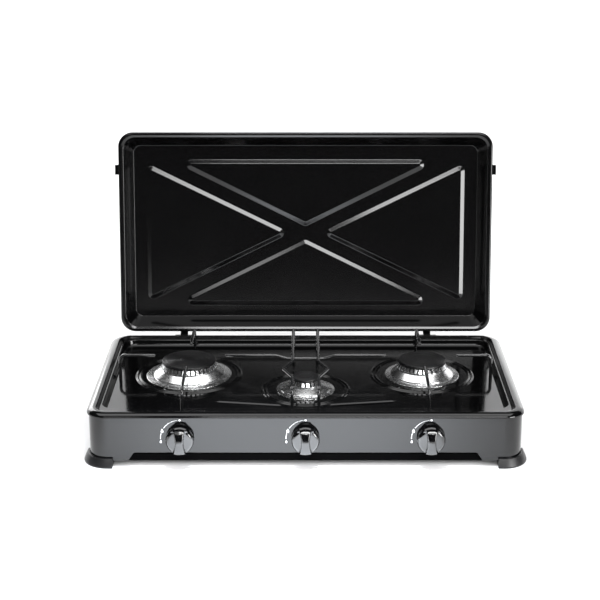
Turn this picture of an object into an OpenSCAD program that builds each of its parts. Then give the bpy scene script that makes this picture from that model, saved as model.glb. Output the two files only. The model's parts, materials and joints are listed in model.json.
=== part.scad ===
// Three-burner table-top gas stove with a hinged lid that stands open behind the burners.
// Millimetres, Z up, X to the right, Y to the back. The origin is on the table,
// at the middle of the box that holds the open stove.

/* [Casing] */
// Width of the casing, left to right
body_w = 627; // [606:1:680]
// Depth of the casing, front to back
body_d = 340; // [330:1:400]
// Radius of the casing's upright corners
body_r = 28; // [26:1:40]
// Thickness of the pressed steel sheet
sheet = 1.2; // [0.8:0.1:1.4]
// Height of the casing's low corners above the table
casing_low = 8.2; // [7.4:0.1:10]
// Height of the raised middle of the front's lower edge
arch_z = 21; // [18.5:0.5:26]
// Width of the raised middle of the lower edge
arch_w = 494; // [400:1:500]
// Run of each slanted end of the raised middle
arch_slant = 9; // [5:1:14]
// Width of the casing's inward top flange
flange_w = 10; // [7:0.5:12]

/* [Top cover] */
// Height of the rim's crown above the table
rim_z = 82; // [78:0.5:90]
// Overhang of the rim past the casing
rim_over = 2.5; // [2:0.1:4]
// Height of the rim's outer skirt, crown to lower edge
rim_drop = 7; // [6.5:0.1:9]
// Radius of the rim's outer bend
rim_bend = 5.5; // [4:0.1:6]
// Width of the rim at the two sides
band_side = 21; // [16:0.5:24]
// Width of the rim at the front
band_front = 28.5; // [24:0.5:32]
// Width of the rim at the rear
band_rear = 22.5; // [20:0.5:26]
// Depth of the recess that the burners stand in
recess_depth = 12; // [10:0.5:14]
// Inward lean of the recess walls over their depth
recess_lean = 5; // [3:0.5:7]
// Corner radius of the recess at the rim
recess_r = 20; // [14:0.5:28]
// Diameter of the pressed ring round the left burner
ring_left = 160; // [150:1:164]
// Diameter of the pressed ring round the center burner
ring_center = 130; // [120:1:134]
// Diameter of the pressed ring round the right burner
ring_right = 155; // [145:1:164]
// Radius of the pressed beads on the deck
bead_r = 1.6; // [1:0.1:2]
// Gap between the two beads of a pressed ring
bead_gap = 5; // [4:0.5:7]

/* [Base and feet] */
// Height of the base pan's underside, which the feet carry
pan_z = 5.6; // [5:0.1:6.4]
// Height of the base pan's walls
pan_h = 12; // [8:0.5:14]
// Gap between the casing's inside and the base pan
pan_gap = 5; // [3:0.5:7]
// Height of a corner foot
foot_h = 13.5; // [12:0.5:16]
// Overhang of a foot past the casing at the table
foot_flare = 9; // [6:0.5:11]
// Overhang of a foot past the casing at its top
foot_lip = 4; // [1.8:0.1:5.5]
// Width of a foot's pad under the base pan
foot_pad = 16; // [14:0.5:20]
// Straight length of a foot past the rounded corner
foot_arm = 7.5; // [2:0.5:20]
// Diameter of a foot screw
foot_screw_d = 3.6; // [3:0.1:4]

/* [Burners] */
// Distance between neighbouring burners, left to right
burner_pitch = 180; // [174:1:190]
// Distance of the side burners behind the casing's middle
side_y = 16; // [8:1:24]
// Distance of the center burner in front of the casing's middle
center_y = 46; // [38:1:50]
// Diameter of the left burner's cap
cap_left = 82; // [76:1:88]
// Diameter of the center burner's cap
cap_center = 41; // [38:1:46]
// Diameter of the right burner's cap
cap_right = 73; // [68:1:80]
// Height of the side caps' tops above the deck
cap_rise = 26; // [23:0.5:27]
// Height of the center cap's top above the deck
center_rise = 22.5; // [20:0.5:25]
// Thickness of a cap
cap_h = 5; // [4:0.5:6]
// Height of the flame ports
port_h = 6; // [4:0.5:7]
// Width of a flame port
port_w = 2.2; // [1.6:0.1:2.6]
// Diameter of the left polished dish at the foot of its cone
dish_left = 108; // [100:1:116]
// Diameter of the center polished dish at the foot of its cone
dish_center = 77; // [70:1:80]
// Diameter of the right polished dish at the foot of its cone
dish_right = 96; // [90:1:106]
// Outer diameter of the left dish
tray_left = 131; // [124:1:140]
// Outer diameter of the center dish
tray_center = 88; // [84:1:100]
// Outer diameter of the right dish
tray_right = 114; // [110:1:130]
// Diameter of the left burner's neck
neck_left = 58; // [54:1:62]
// Diameter of the center burner's neck
neck_center = 30; // [28:1:31]
// Diameter of the right burner's neck
neck_right = 50; // [46:1:54]
// Wall of the burner cups
cup_wall = 2.5; // [2:0.1:3]
// Outer diameter of a mixing tube
tube_d = 17; // [14:0.5:18]

/* [Pan supports] */
// Diameter of the support wires
wire_d = 5; // [4:0.1:6]
// Height of the wires' middle above the deck
wire_rise = 32; // [31:0.5:34]
// Radius of the wires' bends, at the middle of the wire
wire_bend = 9; // [7:0.5:12]
// Distance from a side burner's middle to the tips of the front, rear and outer wires
tip_reach = 51; // [48:0.5:58]
// Clearance between a leg and the foot of the recess wall
leg_gap = 1; // [0.5:0.1:3]
// Distance of the front legs in front of the casing's middle
front_leg = 123; // [118:0.5:126]
// Half the distance between the two center rods
rod_x = 19.5; // [17:0.5:22]
// Half the width of the center rods' bulge
bulge_x = 34; // [30:0.5:38]
// Half the length of the center rods' bulge
bulge_y = 34.5; // [30:0.5:38]
// Half the length of the cross wire
cross_half = 124; // [118:1:128]
// Half the width of the cross wire's dip, at the top
dip_top = 46; // [44:0.5:52]
// Half the width of the cross wire's dip, at the bottom
dip_low = 28; // [26:0.5:32]

/* [Knobs and taps] */
// Diameter of a knob
knob_d = 41; // [38:0.5:44]
// Height of the knob axes above the table
knob_z = 44; // [42:0.5:46]
// Length of a knob
knob_len = 18.5; // [16:0.5:22]
// Thickness of a knob's base disc
knob_base = 7; // [6.5:0.5:8]
// Width of a knob's grip bar at its middle
grip_w = 11.5; // [11:0.5:14]
// Travel of a knob when it is pushed
push = 3; // [2:0.1:3.2]
// Diameter of a tap spindle
spindle_d = 8; // [6:0.1:8.5]
// Diameter of the gas rail
rail_d = 12; // [10:0.5:13]
// Height of the gas rail and the inlet above the table
rail_z = 25; // [23:0.5:26]
// Distance of the gas inlet from the middle
inlet_x = 235; // [228:1:244]
// Diameter of the hose tail's barbs
barb_d = 9; // [8:0.5:10]
// Length of the hose tail behind its flange
tail_len = 30; // [24:1:36]

/* [Lid] */
// Width of the lid
lid_w = 610; // [600:1:614]
// Depth of the lid
lid_d = 328; // [322:1:330]
// Height of the lid
lid_h = 28; // [26:0.5:34]
// Corner radius of the lid's edge
lid_r = 24; // [23.5:0.5:30]
// Inward lean of the lid's walls over their height
lid_lean = 21; // [18:0.5:21.5]
// Radius of the lid's rolled edge
hem_r = 2.4; // [2:0.1:3]
// Gap between the closed lid and the rim
lid_gap = 0.6; // [0.5:0.1:2]
// Distance of the closed lid's rear edge in front of the hinge axis
hinge_back = 7.9; // [7.2:0.1:9]
// Depth of the hinge axis below the rim's crown
hinge_drop = 7.5; // [6.5:0.1:9]
// Angle by which the lid stands open
lid_open = 99.5; // [92:0.5:104]
// Distance of each hinge from the middle
hinge_x = 201; // [180:1:220]
// Diameter of a hinge pin
pin_d = 4; // [3:0.1:4.4]
// Width of a hinge
hinge_w = 28; // [24:1:34]
// Width of the sloped flank round each pressed triangle of the lid
pad_flank = 6.5; // [5:0.5:8]
// Depth of the lid's pressed triangles
pad_depth = 2.6; // [1.5:0.1:2.8]
// Distance of the upper triangle's flat from the lid's free edge
pad_front = 52; // [46:1:58]
// Distance of the lower triangle's flat from the lid's rear edge
pad_rear = 47; // [44:1:56]
// Distance of the side triangles' flats from the lid's sides
pad_side = 49; // [46:1:58]
// Distance of the side catches from the lid's free edge
catch_y = 61; // [50:1:80]
// Length of a side catch
catch_len = 16; // [12:1:24]

/* [Hidden] */
$fn = 64;

SIDES = ["left", "center", "right"];
CORNERS = ["front_left", "front_right", "rear_left", "rear_right"];
ENDS = ["left", "right"];
function named(stem, list) = [for (end = list) str(stem, end)];

// Finishes
enamel = [0.03, 0.03, 0.035];
panel_dark = [0.1, 0.1, 0.105];
black_plastic = [0.05, 0.05, 0.05];
cap_black = [0.09, 0.09, 0.1];
wire_black = [0.12, 0.12, 0.13];
polished = [0.86, 0.87, 0.88];
zinc = [0.68, 0.69, 0.71];
brass = [0.78, 0.63, 0.33];

// Radial clearance of shafts, pins and screws in their bores
fit = 0.05;
// Clearance of sheet edges in their slots
slot = 0.15;
// Overlap that joins the walls and floors of one pressing
lap = 0.3;
// A cut reaches this far past the piece that it opens
past = 1;

// Top cover
cover_w = body_w + 2 * rim_over;
cover_d = body_d + 2 * rim_over;
cover_r = body_r + rim_over;
deck_z = rim_z - recess_depth;
deck_under = deck_z - sheet;
// Run of the recess wall, from the rim's upper face to the deck's underside
recess_foot = recess_lean * (1 + sheet / recess_depth);
recess_w = cover_w - 2 * band_side;
recess_d = cover_d - band_front - band_rear;
recess_y = (band_front - band_rear) / 2;
recess_foot_x = recess_w / 2 - recess_lean;
recess_foot_rear = recess_y + recess_d / 2 - recess_lean;
// The front beads start this far in from the side burners' middles and this far off the right ring
front_bead_in = 48;
front_bead_out = 33;
// They end this far from the middle
front_bead_end = 35;

// Burners, each list in the order of SIDES
burner_x = [-burner_pitch, 0, burner_pitch];
burner_y = [side_y, -center_y, side_y];
cap_r = [cap_left, cap_center, cap_right] / 2;
dish_r = [dish_left, dish_center, dish_right] / 2;
tray_r = [tray_left, tray_center, tray_right] / 2;
neck_r = [neck_left, neck_center, neck_right] / 2;
ring_r = [ring_left, ring_center, ring_right] / 2;
cap_top = [deck_z + cap_rise, deck_z + center_rise, deck_z + cap_rise];
// Thickness of the crown's floor and of the dish's metal
crown_floor = 2;
dish_t = 1;
// How far a crown stays inside its cap, and how far a dish's flat stands out past it
crown_inset = 1.2;
dish_ledge = 1;
// Radial depth of the flame ports
port_depth = 4;
// Distance between flame ports round the crown
port_pitch = 6.8;
function crown_r(i) = cap_r[i] - crown_inset;
function cap_z(i) = cap_top[i] - cap_h;
function crown_z(i) = cap_z(i) - port_h - crown_floor;
function neck_top(i) = crown_z(i) - dish_t;
// Heights of the dish's step above the deck
step_top = 4;
step_low = 2;
// Burner cup flange, its screws and the clear hole in the deck
cup_flange = 9;
cup_flange_t = 2.5;
cup_screw_r = 5;
deck_hole_gap = 0.6;
cup_low = knob_z - tube_d / 2 - 1 - cup_wall;
screw_d = 3;
screw_head_d = 5.6;
screw_head_h = 1.8;

// Pan supports
wire_r = wire_d / 2;
wire_z = deck_z + wire_rise;
leg_x = recess_foot_x - leg_gap - wire_r;
rear_leg = recess_foot_rear - leg_gap - wire_r;
// The cross wire dips just enough to pass under the center rods
dip = wire_d;
// Swelling of the wire's radius where a rod or the cross wire is kinked
kink_swell = 0.1;

// Taps: lengths along the spindle, measured back from the panel's front face
panel_y = -body_d / 2;
knob_gap = push + 0.6;
nose_at = 14;
nose_d = 16;
block_at = 22;
block_len = 24;
block_w = 24;
block_h = 26;
post_x = 13;
post_d = 7;
post_bore = 10;
post_screw = 8;
tap_back = block_at + block_len;
rail_at = block_at + block_len / 2;
rail_y = panel_y + rail_at;
spindle_back = 24;
collar_at = 4;
collar_t = 1;
collar_d = 12;
washer_at = collar_at + collar_t;
washer_t = 1.2;
washer_d = 14;
spring_wire = 1;
spring_d = 11;
spring_turns = 3.5;
jet_hex = 12;
jet_hex_len = 5;
jet_len = 18;
jet_in = 5;
jet_d = 6;
jet_orifice = 1.2;
tube_wall = 1.5;
mouth_gap = 2;
mouth_at = tap_back + jet_len - mouth_gap;
mouth_d = tube_d + 5;
mouth_len = 12;
mouth_cone = 10;
bolt_d = 5;
bolt_head_d = 9;
bolt_head_h = 4;
// Knob details
knob_wall = 2;
hub_d = spindle_d + 6;
knob_bore = 12;
grip_hollow_r = 60;
panel_hole = spindle_d + 5;

// Gas inlet
rail_past = 25;
rail_end = burner_pitch + rail_past;
pipe_d = 10;
pipe_wall = 1.5;
pipe_bend = 14;
inlet_hole = 12.4;
tail_flange_d = 17;
tail_flange_t = 6;
tail_in = 14;
tail_bore = 5;
barbs = 3;

// Hinge and lid
hinge_y = cover_d / 2 + pin_d / 2 + 2.7;
hinge_z = rim_z - hinge_drop;
knuckle_r = pin_d / 2 + 2;
lid_rear = hinge_y - hinge_back;
lid_z = rim_z + lid_gap;
leaf_t = 1.6;
// Share of the hinge's width that the lid's own knuckle takes
leaf_w = hinge_w * 0.44;
knuckle_gap = 0.3;
bracket_w = (hinge_w - leaf_w) / 2 - knuckle_gap;
bracket_low = 42;
bracket_top = rim_z - rim_drop - 3;
rivet_d = 3.2;
rivet_x = 8;
rivet_z = bracket_low + 9;
pin_head_d = pin_d + 2;
pin_head_t = 1.2;
// The lid's wall leaves the rolled edge at this height, measured from the closed lid's lower edge
wall_foot = [lid_r - hem_r / 3, hem_r * 1.46];
wall_head = [lid_r - lid_lean, lid_h];
wall_t = sheet * norm(wall_head - wall_foot) / (wall_head.y - wall_foot.y);
wall_dir = (wall_head - wall_foot) / norm(wall_head - wall_foot);
wall_out = [wall_dir.y, -wall_dir.x];
// Corners of the pressed triangles' flats, measured from the middle of their pattern
pad_apex_x = 39.5;
pad_apex_y = 18;
pad_corner_x = 196;
pad_corner_y = 105;

// The front of the knobs and the top edge of the open lid set the middle of the box
front_reach = panel_y - knob_gap - knob_len;
lid_top_y = lid_rear - lid_d + lid_lean - hinge_y;
lid_top_z = lid_z + lid_h - hinge_z;
back_reach = hinge_y + lid_top_y * cos(lid_open) + lid_top_z * sin(lid_open);
mid_y = (front_reach + back_reach) / 2;

// Placing helpers
module placed() {
    translate([0, -mid_y, 0]) children();
}

// The lid's pieces are drawn closed and swung open about the hinge axis.
module swung_open() {
    translate([0, hinge_y, hinge_z])
        rotate([-lid_open, 0, 0])
            translate([0, -hinge_y, -hinge_z])
                children();
}

// The origin lies on the panel's front face, z points to the front and y up.
module at_knob(i) {
    translate([burner_x[i], panel_y, knob_z]) rotate([90, 0, 0]) children();
}

module at_burner(i) {
    translate([burner_x[i], burner_y[i], 0]) children();
}

module at_corner(k) {
    flip_x = k % 2 == 0 ? 1 : 0;
    flip_y = k < 2 ? 1 : 0;
    mirror([flip_x, 0, 0])
        mirror([0, flip_y, 0])
            translate([body_w / 2 - body_r, body_d / 2 - body_r, 0])
                children();
}

// Shape helpers
module round_rect(w, d, r) {
    square([w - 2 * r, d], center = true);
    square([w, d - 2 * r], center = true);
    for (x = [-1, 1], y = [-1, 1]) {
        translate([x * (w / 2 - r), y * (d / 2 - r)]) circle(r);
    }
}

// Carries a profile round a rectangle of straight lengths lx and ly with round corners.
// The profile's x is measured outwards from the corner centers and its y upwards.
module frame_sweep(lx, ly) {
    for (side = [0 : 3]) {
        run = side % 2 == 0 ? lx : ly;
        across = side % 2 == 0 ? ly : lx;
        rotate([0, 0, side * 90]) translate([run / 2, -across / 2, 0]) {
            rotate([90, 0, -90]) linear_extrude(run) children();
            rotate([0, 0, -90]) rotate_extrude(angle = 90) children();
        }
    }
}

// Carries a profile round one corner and a straight arm at each side of it.
module corner_sweep(arm) {
    rotate_extrude(angle = 90) children();
    translate([-arm, 0, 0]) rotate([90, 0, 90]) linear_extrude(arm) children();
    rotate([90, 0, 0]) linear_extrude(arm) children();
}

module rod(a, b, r) {
    run = b - a;
    translate(a)
        rotate([0, acos(run.z / norm(run)), atan2(run.y, run.x)])
            cylinder(h = norm(run), r = r);
}

// A flat strip with round ends, drawn in the plane along its middle line.
module strip(a, b, t) {
    run = b - a;
    translate(a) rotate(atan2(run.y, run.x)) translate([0, -t / 2]) square([norm(run), t]);
    translate(a) circle(d = t);
    translate(b) circle(d = t);
}

// Draws a plane figure in Y and Z and gives it a width along X.
module along_x(width, center_x = 0) {
    translate([center_x - width / 2, 0, 0]) rotate([90, 0, 90]) linear_extrude(width) children();
}

// Casing, cover and base
module casing_section() {
    flat = rim_z - sheet;
    bend = cover_r - rim_bend;
    shoulder = rim_z - rim_bend + 1.5;
    polygon([
        [body_r, casing_low],
        [body_r, shoulder],
        [bend, flat],
        [body_r - flange_w, flat],
        [body_r - flange_w, flat - sheet],
        [bend - sheet / 2, flat - sheet],
        [body_r - sheet, shoulder - sheet / 2],
        [body_r - sheet, casing_low]
    ]);
}

module casing() {
    color(panel_dark) difference() {
        frame_sweep(body_w - 2 * body_r, body_d - 2 * body_r) casing_section();
        translate([0, panel_y + sheet + past, 0])
            rotate([90, 0, 0])
                linear_extrude(sheet + 2 * past)
                    polygon([
                        [-arch_w / 2 - arch_slant, casing_low - past],
                        [-arch_w / 2 - arch_slant, casing_low],
                        [-arch_w / 2, arch_z],
                        [arch_w / 2, arch_z],
                        [arch_w / 2 + arch_slant, casing_low],
                        [arch_w / 2 + arch_slant, casing_low - past]
                    ]);
        for (i = [0 : 2]) at_knob(i) {
            translate([0, 0, -sheet - past]) cylinder(h = sheet + 2 * past, d = panel_hole);
            for (x = [-post_x, post_x])
                translate([x, 0, -sheet - past]) cylinder(h = sheet + 2 * past, d = screw_d + 4 * fit);
        }
        translate([inlet_x, body_d / 2 + past, rail_z])
            rotate([90, 0, 0])
                cylinder(h = sheet + 2 * past, d = inlet_hole);
        rivet_holes();
    }
}

module rim_section() {
    bend = cover_r - rim_bend;
    intersection() {
        translate([bend, rim_z - rim_bend]) difference() {
            circle(rim_bend);
            circle(rim_bend - sheet);
        }
        translate([bend, rim_z - rim_bend]) square(rim_bend + past);
    }
    translate([cover_r - sheet, rim_z - rim_drop]) square([sheet, rim_drop - rim_bend]);
}

module recess_section() {
    lean = recess_lean / recess_depth;
    t = sheet * sqrt(1 + lean * lean);
    foot = recess_r - recess_foot;
    polygon([
        [recess_r, rim_z],
        [recess_r + t, rim_z],
        [foot + t, deck_under],
        [foot, deck_under]
    ]);
}

// Two round beads pressed up round a burner
module ring_beads(i) {
    for (r = [ring_r[i] - bead_gap, ring_r[i]])
        translate([0, 0, deck_z])
            rotate_extrude()
                translate([r, 0])
                    intersection() {
                        circle(bead_r);
                        translate([-bead_r, -sheet / 2]) square([2 * bead_r, bead_r + sheet]);
                    }
}

// Beads that run from the side rings to the front middle of the deck
module front_beads() {
    start = [burner_pitch - front_bead_in, side_y - ring_right / 2 - front_bead_out];
    bend = [front_bead_end, -center_y - ring_center / 2 + bead_r];
    intersection() {
        for (x = [-1, 1])
            rod([x * start.x, start.y, deck_z], [x * bend.x, bend.y, deck_z], bead_r);
        translate([-body_w / 2, -body_d / 2, deck_z - sheet / 2]) cube([body_w, body_d, bead_r + sheet]);
    }
}

// The rim and the deck are two solids of one pressing, so that the recess stays open between them
module top_cover() {
    deck_edge = recess_foot + fit;
    color(enamel) difference() {
        union() {
            frame_sweep(cover_w - 2 * cover_r, cover_d - 2 * cover_r) rim_section();
            translate([0, 0, rim_z - sheet]) linear_extrude(sheet) difference() {
                round_rect(cover_w - 2 * rim_bend, cover_d - 2 * rim_bend, cover_r - rim_bend);
                translate([0, recess_y])
                    round_rect(recess_w + 2 * lap, recess_d + 2 * lap, recess_r + lap);
            }
            translate([0, recess_y, 0]) {
                frame_sweep(recess_w - 2 * recess_r, recess_d - 2 * recess_r) recess_section();
                translate([0, 0, deck_under]) linear_extrude(sheet)
                    round_rect(recess_w - 2 * deck_edge, recess_d - 2 * deck_edge, recess_r - deck_edge);
            }
            for (i = [0 : 2]) at_burner(i) ring_beads(i);
            front_beads();
        }
        for (i = [0 : 2]) at_burner(i) translate([0, 0, deck_under - past]) {
            cylinder(h = sheet + 2 * past, r = neck_r[i] + deck_hole_gap);
            for (x = [-1, 1])
                translate([x * (neck_r[i] + cup_screw_r), 0, 0])
                    cylinder(h = sheet + 2 * past, d = screw_d + 4 * fit);
        }
    }
}

module foot_screw_places() {
    middle = body_r - (sheet + pan_gap + foot_pad) / 2;
    for (k = [0 : 3]) at_corner(k) rotate([0, 0, 45]) translate([middle, 0, 0]) children();
}

module base_pan() {
    inset = sheet + pan_gap;
    w = body_w - 2 * inset;
    d = body_d - 2 * inset;
    r = body_r - inset;
    color(enamel) difference() {
        translate([0, 0, pan_z]) union() {
            linear_extrude(sheet) round_rect(w - sheet, d - sheet, r - sheet / 2);
            frame_sweep(w - 2 * r, d - 2 * r) translate([r - sheet, 0]) square([sheet, pan_h]);
        }
        foot_screw_places() translate([0, 0, pan_z - past])
            cylinder(h = sheet + 2 * past, r = foot_screw_d / 2 + fit);
    }
}

// Feet
foot_toe = 2.5;
foot_ledge = 1;
foot_screw_head_d = 7;
foot_screw_head_h = 1.8;
foot_screw_seat = 3;
foot_screw_end = 4;

module foot(k) {
    color(black_plastic) difference() {
        at_corner(k) corner_sweep(foot_arm) polygon([
            [body_r - foot_pad, 0],
            [body_r + foot_flare, 0],
            [body_r + foot_flare, foot_toe],
            [body_r + foot_lip, foot_h],
            [body_r + slot, foot_h],
            [body_r + slot, casing_low],
            [body_r - sheet - foot_ledge, casing_low],
            [body_r - sheet - foot_ledge, pan_z],
            [body_r - foot_pad, pan_z]
        ]);
        foot_screw_places() {
            translate([0, 0, -past]) cylinder(h = foot_screw_seat + past, d = foot_screw_head_d + 1);
            cylinder(h = pan_z + past, r = foot_screw_d / 2 + fit);
        }
    }
}

module foot_screws() {
    color(zinc) foot_screw_places() {
        translate([0, 0, foot_screw_seat - foot_screw_head_h])
            cylinder(h = foot_screw_head_h, d = foot_screw_head_d);
        translate([0, 0, foot_screw_seat - lap])
            cylinder(h = pan_z + sheet + foot_screw_end - foot_screw_seat + lap, d = foot_screw_d);
    }
}

// Burners
module burner_cup(i) {
    r = neck_r[i];
    color(polished) difference() {
        at_burner(i) rotate_extrude() polygon([
            [0, cup_low],
            [r, cup_low],
            [r, deck_under - cup_flange_t],
            [r + cup_flange, deck_under - cup_flange_t],
            [r + cup_flange, deck_under],
            [r, deck_under],
            [r, neck_top(i)],
            [r - cup_wall, neck_top(i)],
            [r - cup_wall, cup_low + cup_wall],
            [0, cup_low + cup_wall]
        ]);
        translate([burner_x[i], burner_y[i], knob_z])
            rotate([90, 0, 0])
                cylinder(h = r + past, r = tube_d / 2 + fit);
        at_burner(i) for (x = [-1, 1])
            translate([x * (r + cup_screw_r), 0, deck_under - cup_flange_t - past])
                cylinder(h = cup_flange_t + 2 * past, r = screw_d / 2 + fit);
    }
}

module burner_dish(i) {
    inner = neck_r[i] - cup_wall;
    brim = cap_r[i] + dish_ledge;
    top = crown_z(i);
    color(polished) at_burner(i) rotate_extrude() polygon([
        [inner, top],
        [brim, top],
        [dish_r[i], deck_z + step_top],
        [dish_r[i], deck_z + step_low],
        [tray_r[i], deck_z + dish_t],
        [tray_r[i], deck_z],
        [dish_r[i] - dish_t, deck_z + step_low - dish_t],
        [dish_r[i] - dish_t, deck_z + step_top - lap],
        [brim - dish_t / 2, top - dish_t],
        [inner, top - dish_t]
    ]);
}

module burner_crown(i) {
    r = crown_r(i);
    spigot = neck_r[i] - cup_wall - 0.4;
    ports = round(2 * PI * r / port_pitch);
    color(polished) at_burner(i) difference() {
        rotate_extrude() polygon([
            [spigot - 2, crown_z(i) - 6],
            [spigot, crown_z(i) - 6],
            [spigot, crown_z(i)],
            [r, crown_z(i)],
            [r, cap_z(i)],
            [r - port_depth, cap_z(i)],
            [r - port_depth, crown_z(i) + crown_floor],
            [spigot - 2, crown_z(i) + crown_floor]
        ]);
        for (k = [0 : ports - 1])
            rotate([0, 0, k * 360 / ports])
                translate([r - port_depth - past, -port_w / 2, crown_z(i) + crown_floor])
                    cube([port_depth + 2 * past, port_w, port_h + past]);
    }
}

module burner_cap(i) {
    round_r = cap_h - 2;
    guide = crown_r(i) - port_depth - 0.6;
    color(cap_black) at_burner(i) translate([0, 0, cap_z(i)]) rotate_extrude() {
        square([cap_r[i], cap_h - round_r]);
        square([cap_r[i] - round_r, cap_h]);
        intersection() {
            translate([cap_r[i] - round_r, cap_h - round_r]) circle(round_r);
            square([cap_r[i], cap_h]);
        }
        translate([guide - 2, -port_h / 2]) square([2, port_h / 2 + lap]);
    }
}

module mixing_tube(i) {
    back = -burner_y[i] + neck_r[i] - cup_wall + panel_y;
    color(zinc) at_knob(i) rotate_extrude() polygon([
        [mouth_d / 2 - tube_wall, -mouth_at],
        [mouth_d / 2, -mouth_at],
        [mouth_d / 2, -mouth_at - mouth_len],
        [tube_d / 2, -mouth_at - mouth_len - mouth_cone],
        [tube_d / 2, back],
        [tube_d / 2 - tube_wall, back],
        [tube_d / 2 - tube_wall, -mouth_at - mouth_len - mouth_cone],
        [mouth_d / 2 - tube_wall, -mouth_at - mouth_len]
    ]);
}

module burner_screws() {
    color(zinc) for (i = [0 : 2], x = [-1, 1])
        at_burner(i) translate([x * (neck_r[i] + cup_screw_r), 0, 0]) {
            translate([0, 0, deck_z]) cylinder(h = screw_head_h, d = screw_head_d);
            translate([0, 0, deck_under - cup_flange_t - 3])
                cylinder(h = sheet + cup_flange_t + 3 + lap, d = screw_d);
        }
}

// Pan supports
// A leg that stands at the origin and bends over towards +X.
module leg() {
    upright = wire_rise - wire_bend;
    cylinder(h = upright, r = wire_r);
    translate([wire_bend, 0, upright])
        rotate([90, 0, 0])
            rotate([0, 0, 90])
                rotate_extrude(angle = 90)
                    translate([wire_bend, 0])
                        circle(wire_r);
}

// The chamfered end of a wire that runs up along +Z
module tip() {
    cylinder(h = wire_r / 2, r1 = wire_r, r2 = wire_r / 2);
}

// A leg with a straight wire out to a chamfered tip
module finger(reach) {
    run = reach - wire_bend - wire_r / 2;
    leg();
    translate([wire_bend, 0, wire_rise]) rotate([0, 90, 0]) {
        cylinder(h = run, r = wire_r);
        translate([0, 0, run]) tip();
    }
}

// A wire in the XY plane along a path, a little swollen at each kink
module bent_wire(path) {
    for (k = [0 : len(path) - 2]) rod(flat(path[k]), flat(path[k + 1]), wire_r);
    for (k = [1 : len(path) - 2]) translate(path[k]) sphere(wire_r + kink_swell);
}

function flat(p) = [p.x, p.y, 0];

module pan_fingers(side) {
    x = side * burner_pitch;
    color(wire_black) translate([0, 0, deck_z]) {
        translate([side * leg_x, side_y, 0])
            rotate([0, 0, side < 0 ? 0 : 180])
                finger(leg_x - burner_pitch - tip_reach);
        translate([x, rear_leg, 0]) rotate([0, 0, -90]) finger(rear_leg - side_y - tip_reach);
        translate([x, -front_leg, 0]) rotate([0, 0, 90]) finger(front_leg + side_y - tip_reach);
    }
}

module center_pan_rods() {
    path = [
        [rod_x, rear_leg - wire_bend],
        [rod_x, -center_y + bulge_y],
        [bulge_x, -center_y],
        [rod_x, -center_y - bulge_y],
        [rod_x, -front_leg + wire_bend]
    ];
    color(wire_black) for (side = [0, 1]) mirror([side, 0, 0]) {
        translate([0, 0, wire_z]) bent_wire(path);
        translate([rod_x, rear_leg, deck_z]) rotate([0, 0, -90]) leg();
        translate([rod_x, -front_leg, deck_z]) rotate([0, 0, 90]) leg();
    }
}

module cross_pan_wire() {
    end = cross_half - wire_r / 2;
    path = [
        [0, -end],
        [0, -dip_top],
        [-dip, -dip_low],
        [-dip, dip_low],
        [0, dip_top],
        [0, end]
    ];
    color(wire_black) translate([0, side_y, wire_z]) rotate([90, 0, 90]) rotate([90, 0, 90]) {
        bent_wire(path);
        for (side = [0, 1]) mirror([0, side, 0]) translate([0, end, 0]) rotate([-90, 0, 0]) tip();
    }
}

// Taps and knobs
module knob(i) {
    back = knob_gap;
    color(black_plastic) at_knob(i) difference() {
        union() {
            translate([0, 0, back]) cylinder(h = knob_base, d = knob_d);
            difference() {
                translate([0, 0, back]) cylinder(h = knob_len, d1 = knob_d, d2 = knob_d - 3);
                for (x = [-1, 1])
                    translate([x * (grip_w / 2 + grip_hollow_r), 0, back + knob_base])
                        cylinder(h = knob_len, r = grip_hollow_r);
            }
        }
        translate([0, 0, back - past]) difference() {
            cylinder(h = knob_base - knob_wall + past, d = knob_d - 2 * knob_wall);
            cylinder(h = knob_base - knob_wall + past, d = hub_d);
        }
        translate([0, 0, back - past]) cylinder(h = knob_bore + past, r = spindle_d / 2 + fit);
    }
}

module spindle(i) {
    color(brass) at_knob(i) {
        translate([0, 0, -spindle_back]) cylinder(h = spindle_back + knob_gap + knob_bore, d = spindle_d);
        translate([0, 0, -washer_at]) cylinder(h = collar_t, d = collar_d);
    }
}

module thrust_washer(i) {
    color(zinc) at_knob(i) translate([0, 0, -washer_at - washer_t]) difference() {
        cylinder(h = washer_t, d = washer_d);
        translate([0, 0, -past]) cylinder(h = washer_t + 2 * past, r = spindle_d / 2 + fit);
    }
}

// A wire wound in an open coil, its ends resting on the tap's nose and on the washer
module tap_spring(i) {
    sides = 6;
    rings = 8;
    last = round(spring_turns * rings);
    foot = -nose_at + spring_wire / 2;
    rise = nose_at - washer_at - washer_t - spring_wire;
    points = [
        for (k = [0 : last], j = [0 : sides - 1])
            let (turn = k * 360 / rings, round_wire = j * 360 / sides)
            let (out = (spring_d + spring_wire * cos(round_wire)) / 2)
            [out * cos(turn), out * sin(turn), foot + rise * k / last + spring_wire / 2 * sin(round_wire)]
    ];
    walls = [
        for (k = [0 : last - 1], j = [0 : sides - 1])
            let (a = k * sides + j, b = k * sides + (j + 1) % sides)
            each [[a, b, b + sides], [a, b + sides, a + sides]]
    ];
    ends = [
        for (j = [1 : sides - 2])
            each [[0, j + 1, j], [last * sides, last * sides + j, last * sides + j + 1]]
    ];
    color(zinc) at_knob(i) polyhedron(points, concat(walls, ends));
}

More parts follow.
